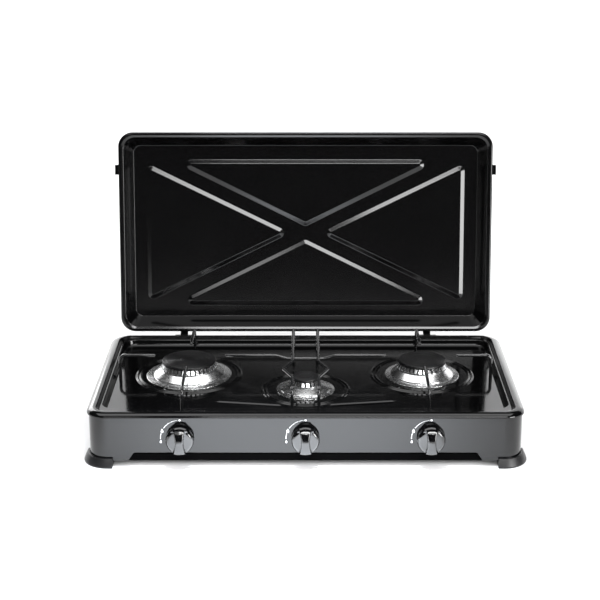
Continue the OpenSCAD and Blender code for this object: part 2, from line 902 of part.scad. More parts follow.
module tap(i) {
    color(brass) at_knob(i) difference() {
        union() {
            translate([0, 0, -block_at - past]) cylinder(h = block_at - nose_at + past, d = nose_d);
            translate([-block_w / 2, -block_h / 2, -tap_back]) cube([block_w, block_h, block_len]);
            translate([-rail_d / 2, rail_z - knob_z + 2, -rail_at - rail_d / 2 - 2])
                cube([rail_d, knob_z - rail_z - 2, rail_d + 4]);
            for (x = [-post_x, post_x])
                translate([x, 0, -tap_back + block_len / 2])
                    cylinder(h = tap_back - block_len / 2 - sheet, d = post_d);
        }
        translate([0, 0, -spindle_back - push - 2])
            cylinder(h = spindle_back + push + 2, r = spindle_d / 2 + fit);
        translate([-block_w, rail_z - knob_z, -rail_at])
            rotate([0, 90, 0])
                cylinder(h = 2 * block_w, r = rail_d / 2 + fit);
        translate([0, rail_z - knob_z - past, -rail_at])
            rotate([-90, 0, 0])
                cylinder(h = knob_z - rail_z - block_h / 4 + past, r = bolt_d / 2 + fit);
        translate([0, 0, -tap_back - past]) cylinder(h = jet_in + 1 + past, r = jet_d / 2 + fit);
        for (x = [-post_x, post_x])
            translate([x, 0, -sheet - post_bore]) cylinder(h = post_bore + past, r = screw_d / 2 + fit);
    }
}

module tap_screws() {
    color(zinc) for (i = [0 : 2], x = [-post_x, post_x]) at_knob(i) translate([x, 0, 0]) {
        cylinder(h = screw_head_h, d = screw_head_d);
        translate([0, 0, -sheet - post_screw]) cylinder(h = sheet + post_screw + lap, d = screw_d);
    }
}

module jet(i) {
    color(brass) at_knob(i) difference() {
        union() {
            translate([0, 0, -tap_back]) cylinder(h = jet_in, d = jet_d);
            translate([0, 0, -tap_back - jet_hex_len]) cylinder(h = jet_hex_len, d = jet_hex, $fn = 6);
            translate([0, 0, -tap_back - jet_len]) cylinder(h = jet_len - jet_hex_len + lap, d1 = 4, d2 = 8);
        }
        translate([0, 0, -tap_back - jet_len - past])
            cylinder(h = jet_len + jet_in + 2 * past, d = jet_orifice);
    }
}

module gas_rail() {
    color(zinc) difference() {
        translate([-rail_end, rail_y, rail_z]) rotate([0, 90, 0]) difference() {
            cylinder(h = 2 * rail_end, d = rail_d);
            translate([0, 0, 2]) cylinder(h = 2 * rail_end, d = rail_d - 2 * pipe_wall);
        }
        for (i = [0 : 2])
            translate([burner_x[i], rail_y, rail_z - rail_d])
                cylinder(h = 2 * rail_d, r = bolt_d / 2 + fit);
    }
}

module rail_bolts() {
    head = rail_z - rail_d / 2 - bolt_head_h;
    color(brass) for (i = [0 : 2]) translate([burner_x[i], rail_y, head]) {
        cylinder(h = bolt_head_h, d = bolt_head_d, $fn = 6);
        translate([0, 0, bolt_head_h - lap])
            cylinder(h = knob_z - block_h / 3 - head - bolt_head_h, d = bolt_d);
    }
}

// Runs from the rail's open end, round a bend and back to the hose tail
module feed_pipe() {
    bend_x = inlet_x - pipe_bend;
    back = body_d / 2 - sheet - tail_in;
    color(zinc) translate([0, rail_y, rail_z]) {
        translate([rail_end, 0, 0]) rotate([0, 90, 0]) pipe(bend_x - rail_end);
        translate([bend_x, pipe_bend, 0])
            rotate([0, 0, -90])
                rotate_extrude(angle = 90)
                    translate([pipe_bend, 0])
                        pipe_ring();
        translate([inlet_x, pipe_bend, 0])
            rotate([-90, 0, 0])
                pipe(back - rail_y - pipe_bend);
    }
}

module pipe_ring() {
    difference() {
        circle(d = pipe_d);
        circle(d = pipe_d - 2 * pipe_wall);
    }
}

module pipe(length) {
    linear_extrude(length) pipe_ring();
}

// A threaded stem through the rear wall, a flange outside and barbs for a hose
module hose_tail() {
    step = (tail_len - tail_flange_t) / barbs;
    color(brass) translate([inlet_x, body_d / 2, rail_z]) rotate([-90, 0, 0]) difference() {
        union() {
            translate([0, 0, -sheet - tail_in])
                cylinder(h = sheet + tail_in + lap, d = inlet_hole - 4 * fit);
            translate([0, 0, -sheet - 5]) cylinder(h = 5, d = tail_flange_d, $fn = 6);
            cylinder(h = tail_flange_t, d = tail_flange_d, $fn = 6);
            for (k = [0 : barbs - 1])
                translate([0, 0, tail_flange_t + k * step]) {
                    cylinder(h = step * 0.4, d = barb_d);
                    translate([0, 0, step * 0.4]) cylinder(h = step * 0.6, d1 = barb_d, d2 = barb_d - 1.6);
                }
        }
        translate([0, 0, -sheet - tail_in - past])
            cylinder(h = tail_in + sheet + tail_len + 2 * past, d = tail_bore);
    }
}

// Lid and hinges
module lid_wall_section() {
    polygon([wall_foot, wall_head, wall_head - [wall_t, 0], wall_foot - [wall_t, 0]]);
}

// Corners of the four pressed triangles' flats, counter-clockwise, in the closed lid's plane
function pad_triangles() =
    let (front = pad_front - lid_d)
    let (rear = -pad_rear)
    let (mid = (front + rear) / 2)
    let (side = lid_w / 2 - pad_side)
    [
        [[-pad_corner_x, front], [pad_corner_x, front], [0, mid - pad_apex_y]],
        [[pad_corner_x, rear], [-pad_corner_x, rear], [0, mid + pad_apex_y]],
        [[-side, mid + pad_corner_y], [-side, mid - pad_corner_y], [-pad_apex_x, mid]],
        [[side, mid - pad_corner_y], [side, mid + pad_corner_y], [pad_apex_x, mid]]
    ];

// A block bounded by a flank that slopes out by pad_flank over pad_depth and then stands upright
module flank_block(up) {
    rotate([90, 0, 90])
        linear_extrude(2 * lid_w, center = true)
            polygon([
                [0, 0],
                [lid_w, 0],
                [lid_w, pad_depth + up],
                [-pad_flank, pad_depth + up],
                [-pad_flank, pad_depth]
            ]);
}

// The four pressed triangles: flanks along the sides of each flat, and one across each of its corners
module pads(up) {
    for (flat = pad_triangles())
        intersection_for(k = [0 : 2]) {
            last = flat[(k + 2) % 3];
            next = flat[(k + 1) % 3];
            along = atan2(next.y - flat[k].y, next.x - flat[k].x);
            before = atan2(flat[k].y - last.y, flat[k].x - last.x);
            turn = (along - before + 360) % 360;
            translate(flat[k]) intersection() {
                rotate([0, 0, along]) flank_block(up);
                rotate([0, 0, before + turn / 2]) flank_block(up);
            }
        }
}

module lid_shell() {
    color(enamel) placed_lid() {
        translate([0, -lid_d / 2, 0]) {
            frame_sweep(lid_w - 2 * lid_r, lid_d - 2 * lid_r)
                translate([lid_r - hem_r, hem_r]) circle(hem_r);
            frame_sweep(lid_w - 2 * lid_r, lid_d - 2 * lid_r) lid_wall_section();
        }
        difference() {
            union() {
                translate([0, -lid_d / 2, lid_h - sheet]) linear_extrude(sheet)
                    round_rect(
                        lid_w - 2 * lid_lean - 2 * lap,
                        lid_d - 2 * lid_lean - 2 * lap,
                        lid_r - lid_lean - lap
                    );
                translate([0, 0, lid_h - sheet - pad_depth]) pads(sheet / 2);
            }
            translate([0, 0, lid_h - pad_depth]) pads(past);
        }
    }
}

// Draws in the closed lid's frame, with its rear lower edge at the origin, and swings it open.
module placed_lid() {
    swung_open() translate([0, lid_rear, lid_z]) children();
}

// A point on the outer face of the lid's rear wall, s along it and out from it
function on_rear_wall(s, out) =
    let (p = wall_foot + wall_dir * s + wall_out * out)
    [p.x - lid_r, p.y];

catch_t = 1.4;
catch_in = 4;
catch_up = 15;
catch_out = 6;
catch_hook = 5;

module lid_catches() {
    seat = on_rear_wall(catch_in, catch_t / 2);
    head = on_rear_wall(catch_up, catch_t / 2);
    knee = [catch_out - catch_t / 2, seat.y];
    tip = [knee.x, knee.y - catch_hook];
    color(black_plastic) placed_lid() for (side = [0, 1])
        mirror([side, 0, 0])
            translate([lid_w / 2, -lid_d + catch_y + catch_len / 2, 0])
                rotate([90, 0, 0])
                    linear_extrude(catch_len) {
                        strip(seat, head, catch_t);
                        strip(seat, knee, catch_t);
                        strip(knee, tip, catch_t);
                    }
}

leaf_in = 6;
leaf_up = 24;
leaf_clear = 1.8;

module hinge_leaf(side) {
    axis = [hinge_y - lid_rear, hinge_z - lid_z];
    hem = [-hem_r, hem_r];
    knee = hem + (hem_r + leaf_clear + leaf_t / 2) * [cos(30), sin(30)];
    seat = on_rear_wall(leaf_in, leaf_t / 2);
    head = on_rear_wall(leaf_up, leaf_t / 2);
    grip = axis + (knuckle_r - leaf_t / 2) * [cos(80), sin(80)];
    color(enamel) placed_lid() difference() {
        along_x(leaf_w, side * hinge_x) {
            translate(axis) circle(knuckle_r);
            strip(grip, knee, leaf_t);
            strip(knee, seat, leaf_t);
            strip(seat, head, leaf_t);
        }
        translate([side * hinge_x - hinge_w, axis.x, axis.y])
            rotate([0, 90, 0])
                cylinder(h = 2 * hinge_w, r = pin_d / 2 + fit);
    }
}

module rivet_places() {
    for (side = [-1, 1], x = [-rivet_x, rivet_x])
        translate([side * hinge_x + x, body_d / 2, rivet_z]) rotate([-90, 0, 0]) children();
}

module rivet_holes() {
    rivet_places() translate([0, 0, -sheet - past])
        cylinder(h = sheet + leaf_t + 2 * past, r = rivet_d / 2 + fit);
}

module hinge_bracket(side) {
    wall = body_d / 2 + leaf_t / 2;
    arm = (hinge_w + leaf_w) / 4 + knuckle_gap / 2;
    color(enamel) difference() {
        union() {
            along_x(hinge_w, side * hinge_x)
                translate([body_d / 2, bracket_low]) square([leaf_t, bracket_top - bracket_low]);
            for (x = [-arm, arm]) along_x(bracket_w, side * hinge_x + x) {
                translate([hinge_y, hinge_z]) circle(knuckle_r);
                strip([wall, bracket_top - 4], [hinge_y, hinge_z - knuckle_r + leaf_t / 2], leaf_t);
            }
        }
        translate([side * hinge_x - hinge_w, hinge_y, hinge_z])
            rotate([0, 90, 0])
                cylinder(h = 2 * hinge_w, r = pin_d / 2 + fit);
        rivet_holes();
    }
}

module hinge_rivets() {
    color(zinc) rivet_places() {
        translate([0, 0, leaf_t]) cylinder(h = 1.4, d = 2 * rivet_d);
        translate([0, 0, -sheet - 1.2]) cylinder(h = 1.2, d = 1.6 * rivet_d);
        translate([0, 0, -sheet - lap]) cylinder(h = sheet + leaf_t + 2 * lap, d = rivet_d);
    }
}

module hinge_pins() {
    color(zinc) for (side = [-1, 1])
        translate([side * hinge_x - hinge_w / 2, hinge_y, hinge_z]) rotate([0, 90, 0]) {
            cylinder(h = hinge_w, d = pin_d);
            translate([0, 0, -pin_head_t]) cylinder(h = pin_head_t, d = pin_head_d);
            translate([0, 0, hinge_w]) cylinder(h = pin_head_t, d = pin_head_d);
        }
}

placed() {
    casing();
    top_cover();
    base_pan();
    gas_rail();
    feed_pipe();
    hose_tail();
    pan_fingers(-1);  // left_pan_fingers
    pan_fingers(1);  // right_pan_fingers
    center_pan_rods();
    cross_pan_wire();
    lid_shell();
    lid_catches();
    hinge_pins();
    hinge_rivets();
    foot_screws();
    burner_screws();
    tap_screws();
    rail_bolts();
    for (k = [0 : 1]) {
        hinge_bracket(2 * k - 1);
        hinge_leaf(2 * k - 1);
    }
    for (k = [0 : 3]) {
        foot(k);
    }
    for (i = [0 : 2]) {
        knob(i);
        spindle(i);
        thrust_washer(i);
        tap_spring(i);
        tap(i);
        jet(i);
        mixing_tube(i);
        burner_cup(i);
        burner_dish(i);
        burner_crown(i);
        burner_cap(i);
    }
}
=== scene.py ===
"""Looks of a three-burner camp stove with a hinged lid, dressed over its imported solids."""

import json
import math

import bmesh
import bpy
import numpy as np
from bpy.props import FloatProperty, FloatVectorProperty, PointerProperty
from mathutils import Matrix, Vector
from mathutils.geometry import tessellate_polygon


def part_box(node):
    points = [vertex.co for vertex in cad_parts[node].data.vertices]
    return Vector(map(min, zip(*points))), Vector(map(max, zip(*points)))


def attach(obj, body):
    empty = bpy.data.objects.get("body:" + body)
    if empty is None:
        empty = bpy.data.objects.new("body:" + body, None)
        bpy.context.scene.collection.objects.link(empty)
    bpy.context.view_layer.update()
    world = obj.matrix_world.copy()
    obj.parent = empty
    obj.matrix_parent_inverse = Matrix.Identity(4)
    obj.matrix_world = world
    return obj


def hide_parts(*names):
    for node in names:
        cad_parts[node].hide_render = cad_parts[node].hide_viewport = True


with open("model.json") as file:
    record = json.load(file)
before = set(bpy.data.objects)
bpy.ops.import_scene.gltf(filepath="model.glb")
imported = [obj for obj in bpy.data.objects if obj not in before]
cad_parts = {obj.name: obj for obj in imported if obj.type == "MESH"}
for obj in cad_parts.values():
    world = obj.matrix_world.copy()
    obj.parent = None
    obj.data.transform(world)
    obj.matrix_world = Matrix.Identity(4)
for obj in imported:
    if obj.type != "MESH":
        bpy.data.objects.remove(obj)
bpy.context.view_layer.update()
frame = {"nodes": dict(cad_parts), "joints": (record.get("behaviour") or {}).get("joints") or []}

bl_info = {
    "name": "Camp stove looks",
    "version": (1, 0, 0),
    "blender": (4, 5, 0),
    "location": "3D View > Sidebar > Stove",
    "description": "Dresses the packed camp stove with enamelled, polished and moulded pieces",
    "category": "Object",
}

SIDES = ("left", "center", "right")
CORNERS = ("front_left", "front_right", "rear_left", "rear_right")
# The casing's middle in the frame: every piece below is placed from it
MIDDLE_Y = sum(corner.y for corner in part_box("casing")) / 2
LID_JOINT = next(joint for joint in frame["joints"] if joint["name"] == "lid_hinge")
SHARP = 38  # degrees between two faces, past which their edge is sharp
MERGE = 2e-6  # points this close become one
SLIVER = 1e-7  # edges this short are dissolved
STRAIGHT = 1.56  # half the angle at a corner, in radians, past which it counts as straight
SLANT = np.array([0.81, 0.23, 0.54])  # a direction that no wire runs along


def length(label, text, value):
    """A size property in metres."""
    return FloatProperty(name=label, description=text, default=value, unit="LENGTH", precision=4)


def lengths(label, text, values):
    """Three sizes in metres, for the left, center and right burner."""
    return FloatVectorProperty(
        name=label, description=text, default=values, size=3, unit="LENGTH", precision=4
    )


def colour(label, text, value):
    """A linear colour property."""
    return FloatVectorProperty(
        name=label, description=text, default=value, size=3, subtype="COLOR", min=0, max=1
    )


def watts(label, text, value):
    """A light's power."""
    return FloatProperty(name=label, description=text, default=value, min=0, unit="POWER")


class CasingSizes(bpy.types.PropertyGroup):
    """Sizes of the casing, its base pan and its feet"""

    width: length("Width", "Casing, left to right", 0.627)
    depth: length("Depth", "Casing, front to back", 0.340)
    corner: length("Corner radius", "Upright corners of the casing", 0.028)
    low: length("Low edge", "Height of the casing's low corners", 0.0082)
    arch: length("Raised edge", "Height of the raised middle of the front's lower edge", 0.021)
    arch_width: length("Raised width", "Width of the raised middle", 0.494)
    arch_slant: length("Slant", "Run of each slanted end of the raised middle", 0.009)
    roll: length("Edge roll", "Radius of the turned-in lower edge", 0.0018)
    flat: length("Flat", "Narrow flat beside each bend", 0.0006)
    shoulder: length("Shoulder", "Height where the wall turns in under the rim", 0.078)
    pan_low: length("Pan height", "Underside of the base pan", 0.0056)
    pan_wall: length("Pan wall", "Height of the base pan's wall", 0.012)
    pan_inset: length("Pan inset", "Base pan's wall behind the casing's face", 0.0062)
    pan_round: length("Pan bend", "Radius of the base pan's lower bend", 0.0034)
    foot_height: length("Foot height", "Height of a corner foot", 0.0135)
    foot_flare: length("Foot flare", "Overhang of a foot at the table", 0.009)
    foot_lip: length("Foot lip", "Overhang of a foot at its top", 0.004)
    foot_pad: length("Foot pad", "Width of a foot under the pan", 0.016)
    foot_arm: length("Foot arm", "Straight length of a foot past the corner", 0.0075)


class CoverSizes(bpy.types.PropertyGroup):
    """Sizes of the top cover with its rim, recess and beads"""

    rim: length("Rim height", "Crown of the rim above the table", 0.082)
    overhang: length("Overhang", "Rim past the casing", 0.0025)
    drop: length("Rim drop", "Crown to the skirt's lower edge", 0.007)
    bend: length("Rim bend", "Height of the rim's outer bend", 0.0062)
    crown: length("Crown", "Top of the rim, from its outer edge", 0.0130)
    slope: length("Slope", "Where the rim's inward slope ends, from its outer edge", 0.0180)
    dip: length("Dip", "Ledge round the recess below the crown", 0.0026)
    band_side: length("Side band", "Width of the rim at the sides", 0.021)
    band_front: length("Front band", "Width of the rim at the front", 0.0285)
    band_rear: length("Rear band", "Width of the rim at the rear", 0.0225)
    recess: length("Recess", "Depth of the recess", 0.012)
    lean: length("Recess lean", "Inward lean of the recess walls", 0.0025)
    corner: length("Recess corner", "Corner radius of the recess", 0.020)
    edge_round: length("Edge round", "Radius of the recess's upper edge", 0.0016)
    foot_round: length("Foot round", "Radius at the foot of the recess wall", 0.0042)
    sheet: length("Sheet", "Thickness of the pressed sheet", 0.0012)
    bead: length("Bead height", "Rise of the pressed beads", 0.0016)
    bead_spread: length("Bead spread", "Half the width of a pressed bead", 0.0025)
    rings: lengths("Rings", "Radii of the pressed rings", (0.080, 0.065, 0.0775))


class BurnerSizes(bpy.types.PropertyGroup):
    """Sizes of the three burners, left to right"""

    pitch: length("Pitch", "Distance between neighbouring burners", 0.180)
    back: lengths("Places", "Burner middles behind the casing's middle", (0.016, -0.046, 0.016))
    caps: lengths("Caps", "Radii of the caps", (0.041, 0.0205, 0.0365))
    tops: lengths("Tops", "Heights of the caps' tops above the deck", (0.026, 0.0225, 0.026))
    cap_height: length("Cap height", "Thickness of a cap", 0.005)
    ports: length("Ports", "Height of the flame ports", 0.006)
    port_pitch: length("Port pitch", "Distance between flame ports", 0.0068)
    port_depth: length("Port depth", "Radial depth of the flame ports", 0.003)
    flare: length("Crown flare", "Crown's foot past its top", 0.0034)
    dishes: lengths("Dishes", "Radii of the polished cones at their foot", (0.054, 0.0385, 0.048))
    trays: lengths("Trays", "Outer radii of the polished dishes", (0.0655, 0.044, 0.057))
    necks: lengths("Necks", "Radii of the burner necks", (0.029, 0.015, 0.025))


class WireSizes(bpy.types.PropertyGroup):
    """Sizes of the wire pan supports"""

    radius: length("Wire radius", "Half the wire's thickness", 0.0025)
    rise: length("Rise", "Wire's middle above the deck", 0.032)
    bend: length("Bend", "Radius of the legs' bends", 0.009)
    kink: length("Kink", "Radius of the bends in the rods", 0.006)
    reach: length("Tip reach", "Burner's middle to the wire tips", 0.051)
    leg_side: length("Side legs", "Legs at the two sides, from the middle", 0.2865)
    leg_rear: length("Rear legs", "Rear legs behind the casing's middle", 0.1415)
    leg_front: length("Front legs", "Front legs in front of the casing's middle", 0.123)
    rod: length("Rods", "Half the distance between the center rods", 0.0195)
    bulge_out: length("Bulge", "Half the width of the rods' bulge", 0.034)
    bulge_along: length("Bulge length", "Half the length of the rods' bulge", 0.0345)
    cross: length("Cross wire", "Half the length of the cross wire", 0.124)
    dip_top: length("Dip top", "Half the width of the cross wire's dip, at its top", 0.046)
    dip_low: length("Dip foot", "Half the width of the cross wire's dip, at its foot", 0.028)
    dip: length("Dip", "Depth of the cross wire's dip", 0.005)


class KnobSizes(bpy.types.PropertyGroup):
    """Sizes of the knobs and the printed marks round them"""

    radius: length("Radius", "Half the knob's diameter", 0.0205)
    height: length("Axis height", "Knob axes above the table", 0.044)
    gap: length("Gap", "Knob's back in front of the panel", 0.0036)
    long: length("Length", "Length of a knob", 0.0185)
    disc: length("Disc", "Thickness of a knob's base disc", 0.0095)
    hub: length("Hub", "Radius of the hub in the hollow back", 0.007)
    wall: length("Wall", "Wall round the hollow back", 0.002)
    cavity: length("Cavity", "Depth of the hollow back", 0.005)
    grip: length("Grip", "Width of the grip bar at its middle", 0.0115)
    hollow: length("Hollow", "Radius of the grip bar's hollow sides", 0.060)
    arch: length("Arch", "Radius of the grip bar's arched front", 0.032)
    nose: length("Nose", "Half the knob's width at its front", 0.019)
    dial: length("Dial", "Radius of the printed arc", 0.028)
    line: length("Line", "Width of the printed arc", 0.0011)


class LidSizes(bpy.types.PropertyGroup):
    """Sizes of the pressed lid"""

    width: length("Width", "Lid, left to right", 0.610)
    depth: length("Depth", "Lid, hinge side to free edge", 0.328)
    height: length("Height", "Lid's panel above its rolled edge", 0.028)
    corner: length("Corner", "Corner radius of the rolled edge", 0.024)
    inner_corner: length("Panel corner", "Corner radius of the panel", 0.010)
    lean: length("Lean", "Inward lean of the walls", 0.021)
    roll: length("Roll", "Radius of the rolled edge", 0.0027)
    bend: length("Bend", "Radius between panel and walls", 0.0024)
    sheet: length("Sheet", "Thickness of the pressed sheet", 0.0012)
    hem: length("Hem", "Width of the rolled edge, up to its bevel", 0.0045)
    bevel: length("Bevel", "Width of the hem's bevel", 0.0036)
    flank: length("Flank", "Width of the slope round each pressed triangle", 0.0065)
    pad_depth: length("Pad depth", "Depth of the pressed triangles", 0.0018)
    pad_round: length("Pad corner", "Radius of the corners of a triangle's flat", 0.0022)
    hinge_back: length("Hinge offset", "Closed lid's rear edge in front of the hinge axis", 0.0079)
    hinge_drop: length("Hinge drop", "Hinge axis below the closed lid's lower edge", 0.0081)


class Finishes(bpy.types.PropertyGroup):
    """Colours of the finishes"""

    enamel: colour("Gloss enamel", "Lid, top cover and hinges", (0.0012, 0.0012, 0.0013))
    panel: colour("Panel enamel", "Casing", (0.0030, 0.0031, 0.0034))
    wire: colour("Wire enamel", "Pan supports", (0.005, 0.005, 0.0053))
    cap: colour("Cap enamel", "Burner caps", (0.0018, 0.0018, 0.0021))
    knob: colour("Knob plastic", "Knobs", (0.0008, 0.0008, 0.0010))
    foot: colour("Foot plastic", "Corner feet", (0.0040, 0.0040, 0.0044))
    bright: colour("Polished aluminium", "Dishes, crowns and cups", (0.86, 0.865, 0.87))
    zinc: colour("Zinc", "Screws, pins, pipes and springs", (0.56, 0.57, 0.585))
    brass: colour("Brass", "Taps, spindles, jets and hose tail", (0.70, 0.50, 0.22))
    print: colour("Print", "Marks on the panel", (0.85, 0.86, 0.87))


class StageSettings(bpy.types.PropertyGroup):
    """Floor, light and camera"""

    floor: colour("Floor", "Pale studio floor", (0.93, 0.93, 0.935))
    ambient: FloatProperty(name="Ambient", description="Light from all round", default=0.035, min=0)
    sun: FloatProperty(name="Sky light", description="Even light on the floor", default=5.7, min=0)
    pool: watts("Floor light", "Spot in front of the stove", 415.0)
    front: watts("Front light", "Main light, front and above", 22.0)
    left: watts("Left light", "Small light at the left", 1.9)
    side: watts("Side light", "Low light on the right", 26.0)
    top: watts("Top light", "Large light overhead", 28.0)
    rear: watts("Rear light", "Light behind, on the left", 8.0)
    card: watts("Rear cards", "Each of the two bright cards behind", 1.0)
    lens: FloatProperty(name="Lens", description="Focal length", default=87.65, min=1, unit="CAMERA")
    distance: length("Distance", "Camera in front of the frame's origin", 2.135)
    height: length("Camera height", "Camera above the table", 0.886)
    pitch: FloatProperty(
        name="Pitch", description="Downward tilt", default=math.radians(18.176), subtype="ANGLE"
    )


def filleted(points, radii, steps=6):
    """A polyline with round corners. At each inner point an arc of the given radius touches both sides; its
    middle lies on the bisector, radius / sin(half angle) away, and it runs between the two touching
    directions by spherical interpolation."""
    p = np.asarray(points, float)
    radii = np.broadcast_to(radii, len(p) - 2)
    share = np.linspace(0, 1, steps + 1)[:, None]
    parts = [p[:1]]
    for k, radius in enumerate(radii, 1):
        a, b = p[k - 1] - p[k], p[k + 1] - p[k]
        a, b = a / np.linalg.norm(a), b / np.linalg.norm(b)
        half = 0.5 * np.arccos(np.clip(a @ b, -1, 1))
        if radius <= 0 or half > STRAIGHT:
            parts.append(p[k : k + 1])
            continue
        turn = np.pi - 2 * half
        middle = p[k] + (a + b) / np.linalg.norm(a + b) * radius / np.sin(half)
        start = (p[k] + a * radius / np.tan(half) - middle) / radius
        end = (p[k] + b * radius / np.tan(half) - middle) / radius
        arc = np.sin((1 - share) * turn) * start + np.sin(share * turn) * end
        parts.append(middle + radius * arc / np.sin(turn))
    return np.concatenate(parts + [p[-1:]])


def closed_fillet(points, radii, steps=6):
    """A closed polygon whose corners are rounded as in filleted; the first point isn't repeated."""
    p = np.asarray(points, float)
    ring = np.concatenate([p[-1:], p, p[:1]])
    return filleted(ring, radii, steps)[1:-1]


def rounded_rows(half_x, half_y, radius, middle_y, height, steps=12):
    """Rounded rectangles, one per row: each runs counter-clockwise round the four quarter circles of its
    radius, whose centers lie half_x - radius and half_y - radius from (0, middle_y)."""
    half_x, half_y, radius, middle_y, height = (
        np.asarray(v, float)[:, None] for v in np.broadcast_arrays(half_x, half_y, radius, middle_y, height)
    )
    turn = (np.linspace(0, np.pi / 2, steps + 1) + np.pi / 2 * np.arange(4)[:, None]).ravel()
    across = np.repeat([1, -1, -1, 1], steps + 1)
    along = np.repeat([1, 1, -1, -1], steps + 1)
    x = across * (half_x - radius) + radius * np.cos(turn)
    y = middle_y + along * (half_y - radius) + radius * np.sin(turn)
    return np.stack([x, y, height + 0 * x], -1)


def turned(profile, middle, sides=128):
    """A profile of (radius, height) turned about the upright axis through middle = (x, y)."""
    turn = np.linspace(0, 2 * np.pi, sides, endpoint=False)
    r, z = profile[:, :1], profile[:, 1:]
    return np.stack([middle[0] + r * np.cos(turn), middle[1] + r * np.sin(turn), z + 0 * turn], -1)


def tube(path, radius, domed=(True, True), sides=16):
    """A round wire: rings across the path, in the plane of N = U - (U.T)T and T x N for the tangent T and
    U = SLANT. A domed end shrinks as radius * sin(a) at radius * (1 - cos(a)) from its tip."""
    p = np.asarray(path, float)
    tangent = np.gradient(p, axis=0)
    tangent /= np.linalg.norm(tangent, axis=1)[:, None]
    sizes = np.full(len(p), radius)
    dome = np.linspace(0, np.pi / 2, 7)
    ends = [p[0] + tangent[0] * radius * (1 - np.cos(dome))[:, None]] if domed[0] else [p[:1]]
    ends += [p[-1] - tangent[-1] * radius * (1 - np.cos(dome[::-1]))[:, None]] if domed[1] else [p[-1:]]
    ring = radius * np.sin(dome)
    grow = [ring if domed[0] else sizes[:1], sizes[1:-1], ring[::-1] if domed[1] else sizes[-1:]]
    middles = np.concatenate([ends[0], p[1:-1], ends[1]])
    direction = np.concatenate(
        [np.repeat(tangent[:1], len(ends[0]), 0), tangent[1:-1], np.repeat(tangent[-1:], len(ends[1]), 0)]
    )
    normal = SLANT - (direction @ SLANT)[:, None] * direction
    normal /= np.linalg.norm(normal, axis=1)[:, None]
    other = np.cross(direction, normal)
    turn = np.linspace(0, 2 * np.pi, sides, endpoint=False)[:, None]
    around = np.cos(turn) * normal[:, None] + np.sin(turn) * other[:, None]
    return middles[:, None] + np.concatenate(grow)[:, None, None] * around


def offset_loop(loop, distance):
    """A closed plane loop moved sideways: each point goes along the mean normal of its two sides, with the
    miter length 1 / cos(half the turn)."""
    side = np.roll(loop, -1, 0) - loop
    side /= np.linalg.norm(side, axis=1)[:, None]
    out = np.stack([side[:, 1], -side[:, 0]], -1)
    mean = out + np.roll(out, 1, 0)
    mean /= np.linalg.norm(mean, axis=1)[:, None]
    miter = np.clip((mean * out).sum(1), 0.5, 1)
    return loop + distance * mean / miter[:, None]


class Shape:
    """Gathers the grids and flat fills of one piece and makes its mesh."""

    def __init__(self):
        self.points, self.faces, self.count = [], [], 0

    def _add(self, points, faces):
        self.points.append(points)
        self.faces.extend((faces + self.count).tolist())
        self.count += len(points)

    def grid(self, rows, wrap=False, flip=False):
        """Adds a surface of points in rows and columns; wrap joins the last column to the first."""
        index = np.arange(rows.shape[0] * rows.shape[1]).reshape(rows.shape[:2])
        right = np.roll(index, -1, 1) if wrap else index[:, 1:]
        left = index if wrap else index[:, :-1]
        quads = np.stack([left[:-1], right[:-1], right[1:], left[1:]], -1).reshape(-1, 4)
        self._add(rows.reshape(-1, 3), quads[:, ::-1] if flip else quads)

    def fill(self, facing, *loops):
        """Adds a flat face inside the first loop and outside the others, facing the given direction."""
        points = np.concatenate(loops)
        tri = np.array(tessellate_polygon([[Vector(p) for p in loop] for loop in loops]))
        normal = np.cross(points[tri[:, 1]] - points[tri[:, 0]], points[tri[:, 2]] - points[tri[:, 0]])
        back = normal @ np.asarray(facing, float) < 0
        tri[back] = tri[back][:, ::-1]
        self._add(points, tri)

    def mesh(self, name, closed=True, sharp=SHARP):
        """Merges the parts into one smooth mesh; a closed one has its normals turned outwards."""
        mesh = bpy.data.meshes.new(name)
        mesh.from_pydata(np.concatenate(self.points).tolist(), [], self.faces)
        work = bmesh.new()
        work.from_mesh(mesh)
        bmesh.ops.remove_doubles(work, verts=work.verts, dist=MERGE)
        bmesh.ops.dissolve_degenerate(work, edges=work.edges, dist=SLIVER)
        if closed:
            bmesh.ops.recalc_face_normals(work, faces=work.faces)
        work.to_mesh(mesh)
        work.free()
        mesh.shade_smooth()
        mesh.set_sharp_from_angle(angle=math.radians(sharp))
        return mesh


def add_piece(name, shape, finish, slot, body, *nodes, sheet=0.0, sharp=SHARP):
    """Puts a shape into the scene as a piece that rides on a body and stands for its CAD nodes. With the
    thickness of a sheet given, the shape is open and is thickened; otherwise it is closed."""
    mesh = shape.mesh(name, not sheet, sharp)
    piece = bpy.data.objects.new(name, mesh)
    bpy.context.scene.collection.objects.link(piece)
    mesh.materials.append(finish)
    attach(piece, body)
    if nodes:
        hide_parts(*nodes)
    if sheet:
        thicken(piece, sheet)
    return piece


def thicken(piece, sheet):
    """Gives a sheet piece its thickness, on the side away from its faces' normals, and keeps the new edges
    sharp so that they don't bend the shading of the flat faces beside them."""
    solid = piece.modifiers.new("sheet", "SOLIDIFY")
    solid.thickness = sheet
    solid.offset = -1
    solid.use_even_offset = False
    thin = piece.data
    graph = bpy.context.evaluated_depsgraph_get()
    piece.data = bpy.data.meshes.new_from_object(piece.evaluated_get(graph))
    piece.modifiers.remove(solid)
    piece.data.set_sharp_from_angle(angle=math.radians(SHARP))
    bpy.data.meshes.remove(thin)


